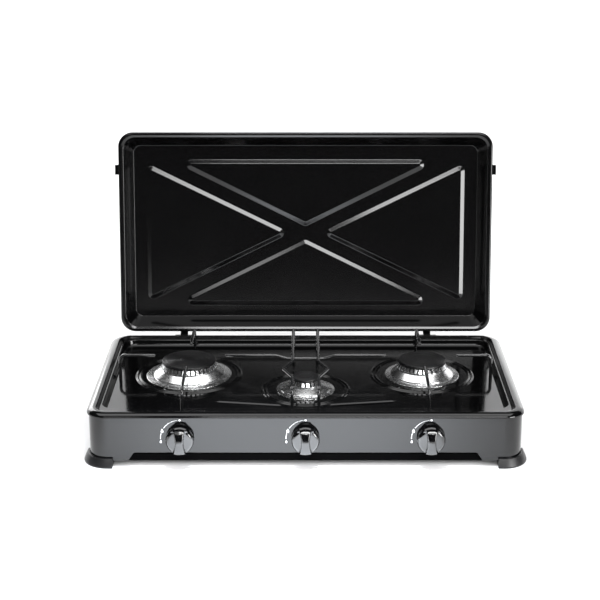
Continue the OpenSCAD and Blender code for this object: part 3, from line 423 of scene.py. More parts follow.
class Channel:
    """A shader socket that takes part in arithmetic; each operator adds one Math node."""

    def __init__(self, finish, socket):
        self.finish, self.socket = finish, socket

    def _math(self, operation, other):
        return self.finish.node("ShaderNodeMath", {"operation": operation}, {0: self, 1: other})

    def __add__(self, other):
        return self._math("ADD", other)

    def __mul__(self, other):
        return self._math("MULTIPLY", other)

    __radd__ = __add__
    __rmul__ = __mul__


class Finish:
    """A procedural material: a Principled shader and the nodes that feed it."""

    def __init__(self, name):
        self.material = bpy.data.materials.new(name)
        self.material.use_nodes = True
        self.tree = self.material.node_tree
        self.shader = next(n for n in self.tree.nodes if n.type == "BSDF_PRINCIPLED")

    def node(self, kind, settings, inputs, output=0):
        """Adds a node, sets its settings, then the values or links of its sockets."""
        node = self.tree.nodes.new(kind)
        for key, value in settings.items():
            setattr(node, key, value)
        for key, value in inputs.items():
            self._feed(node.inputs[key], value)
        return Channel(self, node.outputs[output])

    def _feed(self, socket, value):
        if isinstance(value, Channel):
            self.tree.links.new(value.socket, socket)
        else:
            socket.default_value = value

    def place(self, middle=(0, 0, 0), stretch=(1, 1, 1)):
        """Object coordinates, measured from middle and stretched along the axes."""
        shift = tuple(-m * s for m, s in zip(middle, stretch))
        raw = self.node("ShaderNodeTexCoord", {}, {}, "Object")
        return self.node("ShaderNodeMapping", {}, {"Vector": raw, "Location": shift, "Scale": stretch})

    def noise(self, place, scale, detail=2.0):
        """Soft noise from 0 to 1, with scale in waves per metre."""
        return self.node("ShaderNodeTexNoise", {}, {"Vector": place, "Scale": scale, "Detail": detail})

    def lathe_lines(self, place, scale, detail):
        """Noise from 0 to 1 along the distance from the middle of place, as fine rings."""
        away = self.node("ShaderNodeVectorMath", {"operation": "LENGTH"}, {0: place}, "Value")
        sockets = {"W": away, "Scale": scale, "Detail": detail}
        return self.node("ShaderNodeTexNoise", {"noise_dimensions": "1D"}, sockets)

    def span(self, value, low, high):
        """A value's range from low to high, stretched to 0 to 1 and clamped."""
        return self.node("ShaderNodeMapRange", {}, {"Value": value, "From Min": low, "From Max": high})

    def mix(self, a, b, factor):
        """A colour between a and b."""
        a, b = (c if isinstance(c, Channel) else (*c, 1.0) for c in (a, b))
        return self.node("ShaderNodeMix", {"data_type": "RGBA"}, {0: factor, 6: a, 7: b}, 2)

    def bump(self, height, strength, distance):
        """A surface normal from a height."""
        return self.node("ShaderNodeBump", {}, {"Height": height, "Strength": strength, "Distance": distance})

    def set(self, **sockets):
        """Feeds the Principled shader; base_color stands for Base Color and so on."""
        for key, value in sockets.items():
            name = key.replace("_", " ").title().replace("Ior", "IOR")
            self._feed(self.shader.inputs[name], value)
        return self.material


def scaled(tint, factor):
    """A colour made lighter or darker."""
    return tuple(min(1.0, c * factor) for c in tint)


def enamel(name, tint, rough, peel=0.05, dull=False, coat=0.0):
    """Fired enamel: a slow drift of shade, a faint orange-peel bump and fine pits that dull the gloss. Dull
    enamel mirrors little."""
    f = Finish(name)
    place = f.place()
    drift = f.noise(place, 9.0, 3.0)
    fine = f.noise(place, 420.0)
    pits = f.span(f.noise(place, 1900.0, 1.0), 0.62, 0.78)
    return f.set(
        base_color=f.mix(scaled(tint, 0.85), scaled(tint, 1.25), drift),
        roughness=rough + 0.035 * drift + 0.10 * pits,
        normal=f.bump(fine + 0.3 * drift, peel, 0.0006),
        specular_ior_level=0.01 if dull else 0.5,
        coat_weight=coat,
    )


def panel_enamel(name, tint):
    """Dark gloss paint: a faint drift of shade, fine flecks and a slight waviness."""
    f = Finish(name)
    place = f.place()
    drift = f.noise(place, 6.0)
    flecks = f.noise(place, 2600.0, 1.0)
    shade = f.mix(scaled(tint, 0.8), scaled(tint, 1.2), f.span(flecks, 0.3, 0.7))
    return f.set(
        base_color=f.mix(shade, scaled(tint, 1.3), 0.5 * drift),
        roughness=0.07 + 0.04 * drift + 0.03 * flecks,
        normal=f.bump(f.noise(place, 240.0), 0.03, 0.0005),
        coat_weight=0.12,
    )


def turned_enamel(name, tint, middle):
    """Thin enamel over lathe lines: rings round the burner's axis drive the bump, so the gloss fans out from
    the middle."""
    f = Finish(name)
    place = f.place(middle)
    lines = f.lathe_lines(place, 900.0, 3.0)
    drift = f.noise(place, 45.0, 3.0)
    return f.set(
        base_color=f.mix(scaled(tint, 0.8), scaled(tint, 1.3), drift),
        roughness=0.26 + 0.06 * drift + 0.06 * lines,
        normal=f.bump(lines, 1.0, 0.0012),
    )


def turned_metal(name, tint, middle, rough):
    """Polished metal with lathe lines round the burner's axis, further apart up the walls than across."""
    f = Finish(name)
    place = f.place(middle)
    flat = f.node("ShaderNodeVectorMath", {"operation": "MULTIPLY"}, {0: place, 1: (1.0, 1.0, 0.35)})
    lines = f.lathe_lines(flat, 1700.0, 2.0)
    smear = f.noise(place, 70.0, 3.0)
    return f.set(
        base_color=f.mix(scaled(tint, 0.86), tint, f.span(lines, 0.3, 0.65)),
        metallic=1.0,
        roughness=rough + 0.10 * lines + 0.10 * f.span(smear, 0.5, 0.8),
        normal=f.bump(lines, 0.10, 0.0003),
    )


def port_shaded_metal(name, tint, middle):
    """Crown metal: as turned metal, darkened to near black and rougher inside the flame ports, where the
    mesh's own port attribute says so; the dark is painted shade in the ports.
    """
    f = Finish(name)
    place = f.place(middle)
    port = f.node("ShaderNodeAttribute", {"attribute_name": "port"}, {}, "Fac")
    smear = f.noise(place, 160.0, 3.0)
    bright = f.mix(scaled(tint, 0.8), tint, smear)
    # painted shade: the base colour falls to a twentieth of the metal's inside the recessed flame ports
    return f.set(
        base_color=f.mix(bright, scaled(tint, 0.05), f.span(port, 0.3, 0.9)),
        metallic=1.0,
        roughness=0.20 + 0.10 * smear + 0.30 * port,
        normal=f.bump(smear, 0.05, 0.0004),
    )


def moulded(name, tint, rough, grain, depth, coat=0.0):
    """Moulded plastic: a fine grain in the bump, and slow changes of gloss from handling."""
    f = Finish(name)
    place = f.place()
    pores = f.noise(place, grain)
    drift = f.noise(place, 60.0)
    return f.set(
        base_color=f.mix(scaled(tint, 0.8), scaled(tint, 1.3), f.span(pores, 0.3, 0.7)),
        roughness=rough + 0.08 * drift + 0.04 * pores,
        normal=f.bump(pores, depth, 0.0004),
        coat_weight=coat,
    )


def plated(name, tint, rough, stain):
    """Plated or turned metal: streaks along X, with darker stains in patches."""
    f = Finish(name)
    streaks = f.noise(f.place(stretch=(0.15, 1, 1)), 900.0)
    patch = f.span(f.noise(f.place(), 55.0, 4.0), 0.48, 0.75)
    return f.set(
        base_color=f.mix(f.mix(scaled(tint, 0.85), tint, streaks), scaled(tint, stain), patch),
        metallic=1.0,
        roughness=rough + 0.10 * streaks + 0.10 * patch,
        normal=f.bump(streaks, 0.08, 0.0003),
    )


def print_ink(name, tint):
    """Screen print: an even ink with a fine change of tone."""
    f = Finish(name)
    grain = f.noise(f.place(), 2200.0)
    return f.set(base_color=f.mix(scaled(tint, 0.82), tint, grain), roughness=0.45 + 0.1 * grain)


def studio_floor(name, tint):
    """Pale paper: an even tone with a very faint drift."""
    f = Finish(name)
    drift = f.noise(f.place(), 0.6)
    return f.set(base_color=f.mix(scaled(tint, 0.985), tint, drift), roughness=0.85 + 0.05 * drift)


def burner_middle(context, k):
    """(x, y) of a burner in the frame."""
    sizes = context.scene.stove_burners
    return np.array([(k - 1) * sizes.pitch, MIDDLE_Y + sizes.back[k]])


def deck_height(context):
    """Height of the deck in the recess."""
    cover = context.scene.stove_cover
    return cover.rim - cover.recess


CASING_SHEET = 0.0011
SPINDLE_HOLE = 0.0065  # radius of the holes behind the knobs
HEM = 0.009  # height of the turned-in edge inside the wall
EDGE_BEND = 0.004  # radius where the lower edge changes direction
LIP_RISE, LIP_INSET = 0.0027, 0.0033  # the lip that turns in under the rim


class STOVE_OT_casing(bpy.types.Operator):
    """Wrap-round dark gloss wall with its turned-in lower edge, raised in the middle of the front"""

    bl_idname = "stove.casing"
    bl_label = "Casing"

    def execute(self, context):
        s, knobs = context.scene.stove_casing, context.scene.stove_knobs
        place, outward, low = self.perimeter(s)
        shape = Shape()
        turn = np.linspace(np.pi, 0, 9)
        inset = np.concatenate([[2 * s.roll], s.roll * (1 - np.cos(turn)), [0]])
        rise = np.concatenate([[HEM], s.roll * (1 - np.sin(turn)), [s.roll + s.flat]])
        shape.grid(self.rows(place, outward, low + rise[:, None], inset), wrap=True)
        top = np.full_like(low, s.shoulder)
        bottom = low + s.roll + s.flat
        wall = self.rows(place, outward, np.stack([bottom, top]), np.zeros(2))
        first = np.flatnonzero(np.isclose(outward[:, 1], -1))[1:-1]
        last = np.flatnonzero(np.isclose(outward[:, 1], 1))[1:-1]
        ring = np.linspace(0, 2 * np.pi, 40, endpoint=False)
        across, up = SPINDLE_HOLE * np.cos(ring), SPINDLE_HOLE * np.sin(ring)
        holes = [
            np.stack([x + across, 0 * ring + wall[0, first[0], 1], knobs.height + up], -1)
            for x in np.arange(-1, 2) * context.scene.stove_burners.pitch
        ]
        shape.fill((0, -1, 0), np.concatenate([wall[0, first], wall[1, first][::-1]]), *holes)
        shape.fill((0, 1, 0), np.concatenate([wall[0, last], wall[1, last][::-1]]))
        shape.grid(wall[:, first[-1] : last[0] + 1])
        shape.grid(np.concatenate([wall[:, last[-1] :], wall[:, : first[0] + 1]], 1))
        lip = np.stack([top, top + LIP_RISE])
        shape.grid(self.rows(place, outward, lip, np.array([0, LIP_INSET])), wrap=True)
        finish = panel_enamel("panel_enamel", context.scene.stove_finishes.panel)
        add_piece("casing_wall", shape, finish, "panel_dark", "body", "casing", sheet=CASING_SHEET)
        return {"FINISHED"}

    @staticmethod
    def perimeter(s):
        """Points round the wall, their outward normals and the height of the lower edge at each: the front
        follows a polyline with round corners, the four corners are quarter circles."""
        half_x, half_y = s.width / 2 - s.corner, s.depth / 2 - s.corner
        reach = s.arch_width / 2
        edge = filleted(
            [
                (-half_x, s.low),
                (-reach - s.arch_slant, s.low),
                (-reach, s.arch),
                (reach, s.arch),
                (reach + s.arch_slant, s.low),
                (half_x, s.low),
            ],
            EDGE_BEND,
        )
        edge = np.concatenate([edge[:1], edge[:1] + [s.flat, 0], edge[1:-1], edge[-1:] - [s.flat, 0]])
        front = np.stack([edge[:, 0], np.full(len(edge), -s.depth / 2)], -1)
        turn = np.linspace(-np.pi / 2, 0, 13) + np.arange(4)[:, None] * np.pi / 2
        side = np.array([[1, -1], [1, 1], [-1, 1], [-1, -1]])[:, None] * np.array([half_x, half_y])
        out = np.round(np.stack([np.cos(turn), np.sin(turn)], -1), 12)
        corners = side + s.corner * out
        rear = np.array([[half_x - s.flat, s.depth / 2], [s.flat - half_x, s.depth / 2]])
        place = np.concatenate([front, *corners[:2], rear, corners[2], corners[3, :-1]])
        ahead = np.tile([[0, -1]], (len(front), 1))
        outward = np.concatenate([ahead, *out[:2], [[0, 1], [0, 1]], out[2], out[3, :-1]])
        low = np.concatenate([edge[:, 1], np.full(len(place) - len(edge), s.low)])
        return place + [0, MIDDLE_Y], outward, low

    @staticmethod
    def rows(place, outward, height, inset):
        """Rows of the wall: each point moves in by inset along its normal and stands at its height."""
        flat = place[None] - inset[:, None, None] * outward[None]
        return np.concatenate([flat, height[..., None]], -1)


PAN_SHEET = 0.0012
PAN_STRIP = 0.012  # of the pan's floor, drawn with its bend


class STOVE_OT_base_pan(bpy.types.Operator):
    """Set-back black tray with a round lower bend"""

    bl_idname = "stove.base_pan"
    bl_label = "Base pan"

    def execute(self, context):
        s = context.scene.stove_casing
        top = s.pan_low + s.pan_wall
        edge = filleted([(PAN_STRIP, s.pan_low), (0, s.pan_low), (0, top)], s.pan_round)
        rows = rounded_rows(
            s.width / 2 - s.pan_inset - edge[:, 0],
            s.depth / 2 - s.pan_inset - edge[:, 0],
            s.corner - s.pan_inset - edge[:, 0],
            MIDDLE_Y,
            edge[:, 1],
        )
        shape = Shape()
        shape.grid(rows, wrap=True)
        shape.fill((0, 0, -1), rows[0])
        finish = enamel("pan_enamel", context.scene.stove_finishes.enamel, rough=0.50, dull=True)
        add_piece("base_tray", shape, finish, "pan_black", "body", "base_pan", sheet=PAN_SHEET)
        return {"FINISHED"}


FOOT_TOE = 0.0025  # upright edge at the table
FOOT_GAP = 0.0002  # to the casing's face
FOOT_STEP = 0.0022  # under the casing's edge
FOOT_ROUNDS = (0.0008, 0.0012, 0.0014, 0.0009, 0.0006, 0, 0, 0, 0.0006)  # the section's corners in order
FOOT_SHARP = 50  # as SHARP


class STOVE_OT_feet(bpy.types.Operator):
    """Four moulded corner feet, flared towards the table"""

    bl_idname = "stove.feet"
    bl_label = "Feet"

    def execute(self, context):
        s = context.scene.stove_casing
        tint = context.scene.stove_finishes.foot
        finish = moulded("foot_plastic", tint, rough=0.34, grain=900.0, depth=0.12)
        profile = closed_fillet(
            [
                (s.corner - s.foot_pad, 0),
                (s.corner + s.foot_flare, 0),
                (s.corner + s.foot_flare, FOOT_TOE),
                (s.corner + s.foot_lip, s.foot_height),
                (s.corner + FOOT_GAP, s.foot_height),
                (s.corner + FOOT_GAP, s.low),
                (s.corner - FOOT_STEP, s.low),
                (s.corner - FOOT_STEP, s.pan_low),
                (s.corner - s.foot_pad, s.pan_low),
            ],
            FOOT_ROUNDS,
            4,
        )
        turn = np.linspace(0, np.pi / 2, 15)
        out = np.stack([np.cos(turn), np.sin(turn)], -1)
        out = np.concatenate([out[:1], out, out[-1:]])
        base = np.zeros_like(out)
        base[0, 1] = base[-1, 0] = -s.foot_arm
        plan = base[:, None] + profile[None, :, :1] * out[:, None]
        rows = np.concatenate([plan, np.broadcast_to(profile[None, :, 1:], (*plan.shape[:2], 1))], -1)
        middle = [s.width / 2 - s.corner, s.depth / 2 - s.corner]
        for k, corner in enumerate(CORNERS):
            sign = np.array([1 if k % 2 else -1, 1 if k > 1 else -1])
            placed = rows.copy()
            placed[..., :2] = (rows[..., :2] + middle) * sign + [0, MIDDLE_Y]
            shape = Shape()
            shape.grid(placed, wrap=True)
            shape.fill((0, -sign[1], 0), placed[0])
            shape.fill((-sign[0], 0, 0), placed[-1])
            name = "corner_foot_" + corner
            add_piece(name, shape, finish, "foot_plastic", "body", "foot_" + corner, sharp=FOOT_SHARP)
        return {"FINISHED"}


RIM_FLAT = 0.0016  # between the rim's bend and its inward slope
RIM_ROUNDS = (0.005, 0.004)  # at the head and the foot of the slope
LEDGE_STRIP = 0.002  # of the ledge, drawn with the recess wall
DECK_STRIP = 0.009  # of the deck, drawn with the recess wall
NECK_GAP = 0.0006  # round each burner's neck
RING_STEP = 0.005  # from a pressed ring to the one inside it
RING_FLAT = 0.0005  # beside the two rings
BEAD_START, BEAD_END = (0.132, -0.0945), (0.035, -0.1094)  # the right bead, from the casing's middle
BEAD_FADE = 0.06  # share of a bead's length over which it fades
BEAD_SINK = 0.00004  # a bead's edges under the deck's face


class STOVE_OT_top_cover(bpy.types.Operator):
    """Gloss pressing: round rim, leaning recess walls, and a deck with pressed rings and beads"""

    bl_idname = "stove.top_cover"
    bl_label = "Top cover"

    def execute(self, context):
        s, casing = context.scene.stove_cover, context.scene.stove_casing
        shape = Shape()
        ledge = s.rim - s.dip
        turn = np.linspace(0, np.pi / 2, 17)
        bend = np.stack([(s.crown - RIM_FLAT) * (1 - np.cos(turn)), s.rim - s.bend * (1 - np.sin(turn))], -1)
        top = [tuple(bend[-1]), (s.crown, s.rim), (s.slope, ledge), (s.slope + LEDGE_STRIP / 2, ledge)]
        rim = np.concatenate([[(0, s.rim - s.drop)], bend[:-1], filleted(top, RIM_ROUNDS, 10)[:-1]])
        half = np.array([casing.width, casing.depth]) / 2 + s.overhang
        outer = rounded_rows(
            half[0] - rim[:, 0],
            half[1] - rim[:, 0],
            casing.corner + s.overhang - rim[:, 0],
            MIDDLE_Y,
            rim[:, 1],
        )
        deck = deck_height(context)
        wall = filleted(
            [(LEDGE_STRIP, ledge), (0, ledge), (-s.lean, deck), (-s.lean - DECK_STRIP, deck)],
            [s.edge_round, s.foot_round],
            8,
        )
        inner = rounded_rows(
            half[0] - s.band_side + wall[:, 0],
            half[1] - (s.band_front + s.band_rear) / 2 + wall[:, 0],
            s.corner + wall[:, 0],
            MIDDLE_Y + (s.band_front - s.band_rear) / 2,
            wall[:, 1],
        )
        shape.grid(np.concatenate([outer, inner]), wrap=True)
        rings = []
        for k in range(3):
            hole = context.scene.stove_burners.necks[k] + NECK_GAP
            rows = turned(self.ring_profile(s, s.rings[k], hole, deck), burner_middle(context, k))
            shape.grid(rows, wrap=True)
            rings.append(rows[0])
        shape.fill((0, 0, 1), inner[-1], *rings)
        for side in (-1, 1):
            shape.grid(self.bead(s, side, deck), flip=side < 0)
        finish = enamel("gloss_enamel", context.scene.stove_finishes.enamel, rough=0.055)
        add_piece("cover_pressing", shape, finish, "gloss_black", "body", "top_cover", sheet=s.sheet)
        return {"FINISHED"}

    @staticmethod
    def ring_profile(s, ring, hole, deck):
        """From outside in: two beads with a cosine-squared section, at ring and RING_STEP inside it, then a
        flat to the hole."""
        inner = RING_STEP + RING_FLAT
        away = np.linspace(ring + s.bead_spread, ring - RING_STEP - s.bead_spread, 33)
        first = np.cos(np.clip((away - ring) / s.bead_spread, -1, 1) * np.pi / 2) ** 2
        second = np.cos(np.clip((away - ring + RING_STEP) / s.bead_spread, -1, 1) * np.pi / 2) ** 2
        rows = np.stack([away, deck + s.bead * (first + second)], -1)
        edges = [[ring + s.bead_spread + RING_FLAT, deck], [ring - inner - s.bead_spread, deck], [hole, deck]]
        return np.concatenate([edges[:1], rows, edges[1:]])

    @staticmethod
    def bead(s, side, deck):
        """A straight bead from beside a ring to the front middle: a cosine-squared section that fades out
        at both ends."""
        start, end = np.array([BEAD_START, BEAD_END]) * [side, 1] + [0, MIDDLE_Y]
        run = end - start
        along = np.linspace(0, 1, 40)[:, None]
        across = np.linspace(-1, 1, 11)[None]
        normal = np.array([-run[1], run[0]]) / np.linalg.norm(run)
        fade = np.clip(np.minimum(along, 1 - along) / BEAD_FADE, 0, 1)
        flat = start + along[..., None] * run + across[..., None] * normal * s.bead_spread
        lift = deck - BEAD_SINK + s.bead * np.cos(across * np.pi / 2) ** 2 * (fade * (2 - fade))
        return np.concatenate([flat, np.broadcast_to(lift, flat.shape[:2])[..., None]], -1)


DISH_SHEET = 0.001
DISH_HOLE = 0.0025  # inside the burner's neck
DISH_BRIM = 0.001  # past the cap's edge
CONE_FOOT, CONE_INSIDE, STEP_FOOT, TRAY_TOP, TRAY_LOW = 0.004, 0.0037, 0.002, 0.0011, 0.0001  # above the deck
DISH_ROUNDS = (0.0002, 0.0022, 0.0012, 0.0006, 0.0004, 0.0004, 0.0005, 0.0008, 0.0018, 0.0002)
CROWN_INSET = 0.0012  # the toothed wall inside the cap's edge
CROWN_WALL = 0.004  # thickness of the toothed wall
CROWN_PLATE = 0.002  # thickness under the flame ports
CROWN_BEVEL = 0.0004  # at the plate's lower edge
CROWN_GAP = 0.0004  # between the spigot and the dish
SPIGOT, SPIGOT_WALL = 0.006, 0.002  # depth and wall of the ring that sits in the dish
PORT_PLACES = (0.0, 0.30, 0.34, 0.38, 0.62, 0.66, 0.70)  # along the pitch of one flame port
PORT_CUT = (0.0, 0.0, 0.5, 1.0, 1.0, 0.5, 0.0)  # share of the port's depth at each place
PORT_FOOT = 0.0002  # above and below the port's floor, where the cut starts
PORT_START = 0.9  # share of the cut at the port's floor
CAP_EDGE = 0.009  # width of the cap outside its dome
CAP_FALL, CAP_LIP = 0.0001, 0.0005  # the dome's edge and the cap's edge below the middle
CAP_DRAFT = 0.0002  # lean of the cap's side
CAP_ROUNDS = (0.0012, 0.0006)  # the cap's upper and lower edge
CAP_GAP = 0.0006  # between the guide ring and the crown
GUIDE, GUIDE_WALL = 0.003, 0.002  # depth and wall of the ring under the cap


class STOVE_OT_burners(bpy.types.Operator):
    """Three burners: polished stepped dish, crown with flame ports and a black cap"""

    bl_idname = "stove.burners"
    bl_label = "Burners"

    def execute(self, context):
        s, tints = context.scene.stove_burners, context.scene.stove_finishes
        deck = deck_height(context)
        for k, side in enumerate(SIDES):
            middle = burner_middle(context, k)
            cap_low = deck + s.tops[k] - s.cap_height
            crown_low = cap_low - s.ports - CROWN_PLATE
            axis = (middle[0], middle[1], deck)
            metal = turned_metal("turned_aluminium_" + side, tints.bright, axis, rough=0.19)
            # crown finish with painted shade inside its flame ports
            port_shaded = port_shaded_metal("ported_aluminium_" + side, tints.bright, axis)
            cap_finish = turned_enamel("cap_enamel_" + side, tints.cap, axis)
            dish = turned(self.dish(s, k, deck, crown_low), middle)
            crown = self.crown(s, k, crown_low, cap_low, middle)
            cap = turned(self.cap(s, k, cap_low), middle)
            parts = (
                ("polished_dish_", dish, metal, "bright_aluminium", "burner_dish_"),
                ("flame_crown_", crown, port_shaded, "bright_aluminium", "burner_crown_"),
                ("flame_cap_", cap, cap_finish, "cap_enamel", "burner_cap_"),
            )
            for stem, rows, finish, slot, node in parts:
                shape = Shape()
                shape.grid(rows, wrap=True)
                piece = add_piece(stem + side, shape, finish, slot, "body", node + side)
                if rows is crown:
                    self.mark_ports(piece.data, s, k, middle, cap_low)
        return {"FINISHED"}

    @staticmethod
    def dish(s, k, deck, top):
        """Closed section of the dish: flat under the crown, cone, short step and a thin tray."""
        inner, brim, cone, tray = s.necks[k] - DISH_HOLE, s.caps[k] + DISH_BRIM, s.dishes[k], s.trays[k]
        ring = closed_fillet(
            [
                (inner, top),
                (brim, top),
                (cone, deck + CONE_FOOT),
                (cone, deck + STEP_FOOT),
                (tray, deck + TRAY_TOP),
                (tray, deck + TRAY_LOW),
                (cone - DISH_SHEET, deck + DISH_SHEET),
                (cone - DISH_SHEET, deck + CONE_INSIDE),
                (brim - DISH_SHEET / 2, top - DISH_SHEET),
                (inner, top - DISH_SHEET),
            ],
            DISH_ROUNDS,
            5,
        )
        return np.concatenate([ring, ring[:1]])

    @staticmethod
    def cap(s, k, low):
        """Half section of the cap: a shallow dome, a round edge, a flat underside and a guide ring."""
        r, top = s.caps[k], low + s.cap_height
        brow = r - CAP_EDGE
        guide = r - CROWN_INSET - CROWN_WALL - CAP_GAP
        edge = filleted(
            [(brow, top - CAP_FALL), (r - CAP_DRAFT, top - CAP_LIP), (r, low), (guide, low)], CAP_ROUNDS, 7
        )
        swell = np.linspace(0, brow, 9)
        dome = np.stack([swell, top - CAP_FALL * (swell / brow) ** 2], -1)[:-1]
        inside = guide - GUIDE_WALL
        foot = [(guide, low - GUIDE), (inside, low - GUIDE), (inside, low), (0, low)]
        return np.concatenate([dome, edge, foot])

    @staticmethod
    def crown(s, k, low, high, middle):
        """Turned section whose outer wall steps in by port_depth at each flame port: r(t) = R - depth * port,
        where port is 1 in a slot of a third of the pitch and 0 on the lands, with short flanks. The third
        number of a point is its share of the cut."""
        r, spigot = s.caps[k] - CROWN_INSET, s.necks[k] - DISH_HOLE - CROWN_GAP
        count = round(2 * np.pi * r / s.port_pitch)
        turn = ((np.arange(count)[:, None] + PORT_PLACES) * 2 * np.pi / count).ravel()
        cut = np.tile(PORT_CUT, count) * s.port_depth
        floor, foot = low + CROWN_PLATE, low - SPIGOT
        bore, inside, hem = spigot - SPIGOT_WALL, r - CROWN_WALL, r + s.flare
        section = np.array(
            [
                (bore, foot, 0),
                (spigot, foot, 0),
                (spigot, low, 0),
                (hem - CROWN_BEVEL, low, 0),
                (hem, low + CROWN_BEVEL, 0),
                (hem, floor - PORT_FOOT, 0),
                (hem - PORT_FOOT / 2, floor, PORT_START),
                (hem, floor + PORT_FOOT, 1),
                (r, high, 1),
                (inside, high, 0),
                (inside, floor, 0),
                (bore, floor, 0),
                (bore, foot, 0),
            ]
        )
        away = section[:, :1] - section[:, 2:] * cut
        return np.stack(
            [middle[0] + away * np.cos(turn), middle[1] + away * np.sin(turn), section[:, 1:2] + 0 * away], -1
        )

    @staticmethod
    def mark_ports(mesh, s, k, middle, top):
        """Stores on each point how far it lies inside a flame port, from the flared wall
        R + flare / ports * drop."""
        wall, slope = s.caps[k] - CROWN_INSET, s.flare / s.ports
        flat = np.empty(len(mesh.vertices) * 3, np.float32)
        mesh.vertices.foreach_get("co", flat)
        co = flat.reshape(-1, 3)
        away = np.hypot(co[:, 0] - middle[0], co[:, 1] - middle[1])
        inside = np.clip((wall + slope * (top - co[:, 2]) - away) / s.port_depth, 0, 1)
        mesh.attributes.new("port", "FLOAT", "POINT").data.foreach_set("value", inside.astype(np.float32))


WIRE_SINK = 0.0002  # the legs' ends under the deck's face


class STOVE_OT_pan_wires(bpy.types.Operator):
    """Bent support wires of the two side burners, the center rods and the cross wire"""

    bl_idname = "stove.pan_wires"
    bl_label = "Pan wires"

    def execute(self, context):
        s, burners = context.scene.stove_wires, context.scene.stove_burners
        tint = context.scene.stove_finishes.wire
        finish = enamel("wire_enamel", tint, rough=0.15, peel=0.08, coat=1.0)
        deck = deck_height(context)
        top = deck + s.rise
        foot = deck - WIRE_SINK
        for side in (-1, 1):
            middle = burner_middle(context, 1 + side)
            legs = (
                (side * s.leg_side, middle[1], middle[0] + side * s.reach, middle[1]),
                (middle[0], MIDDLE_Y + s.leg_rear, middle[0], middle[1] + s.reach),
                (middle[0], MIDDLE_Y - s.leg_front, middle[0], middle[1] - s.reach),
            )
            shape = Shape()
            for x, y, tip_x, tip_y in legs:
                path = filleted([(x, y, foot), (x, y, top), (tip_x, tip_y, top)], s.bend, 12)
                shape.grid(tube(path, s.radius, (False, True)), wrap=True)
            word = SIDES[1 + side]
            add_piece("wire_fingers_" + word, shape, finish, "wire_black", "body", word + "_pan_fingers")
        front, rear, mid = MIDDLE_Y - s.leg_front, MIDDLE_Y + s.leg_rear, MIDDLE_Y + burners.back[1]
        shape = Shape()
        for side in (-1, 1):
            path = filleted(
                [
                    (side * s.rod, rear, foot),
                    (side * s.rod, rear, top),
                    (side * s.rod, mid + s.bulge_along, top),
                    (side * s.bulge_out, mid, top),
                    (side * s.rod, mid - s.bulge_along, top),
                    (side * s.rod, front, top),
                    (side * s.rod, front, foot),
                ],
                [s.bend, s.kink, s.kink, s.kink, s.bend],
                12,
            )
            shape.grid(tube(path, s.radius, (False, False)), wrap=True)
        add_piece("wire_rods", shape, finish, "wire_black", "body", "center_pan_rods")
        back = MIDDLE_Y + burners.back[0]
        path = filleted(
            [
                (-s.cross, back, top),
                (-s.dip_top, back, top),
                (-s.dip_low, back, top - s.dip),
                (s.dip_low, back, top - s.dip),
                (s.dip_top, back, top),
                (s.cross, back, top),
            ],
            s.kink,
            10,
        )
        shape = Shape()
        shape.grid(tube(path, s.radius), wrap=True)
        add_piece("wire_cross", shape, finish, "wire_black", "body", "cross_pan_wire")
        return {"FINISHED"}


DISC_DRAFT = 0.0004  # lean of the disc's side
DISC_WIDEST = 0.005  # from the disc's back to its widest place
DISC_EDGE = 0.0035  # width of the disc's sloped front edge
DISC_RISE = 0.0012  # of the disc's face, from its edge to the grip
KNOB_ROUNDS = (0.0001, 0.0003, 0.0003, 0.0001, 0.0007, 0.004, 0.006, 0.002)  # the section's corners in order
KNOB_SHARP = 60  # as SHARP
GRIP_FOOT, GRIP_EDGE = 0.0042, 0.0024  # radii of the bar's flared foot and of its front edge
GRIP_SINK = 0.001  # the foot under the disc's face
GRIP_ROW = 0.0012  # between the rows on the bar's front
GRIP_SPREAD = 0.0026  # half width of the bar at its ends, past that at its middle
GRIP_END, GRIP_LIMIT = 0.0006, 0.0012  # ends of the bar's foot and of every row, inside the disc's edge
ARCH_LOW = 0.003  # the arch's highest place below the knob's axis
SPINE = 0.0001  # rise of the middle line


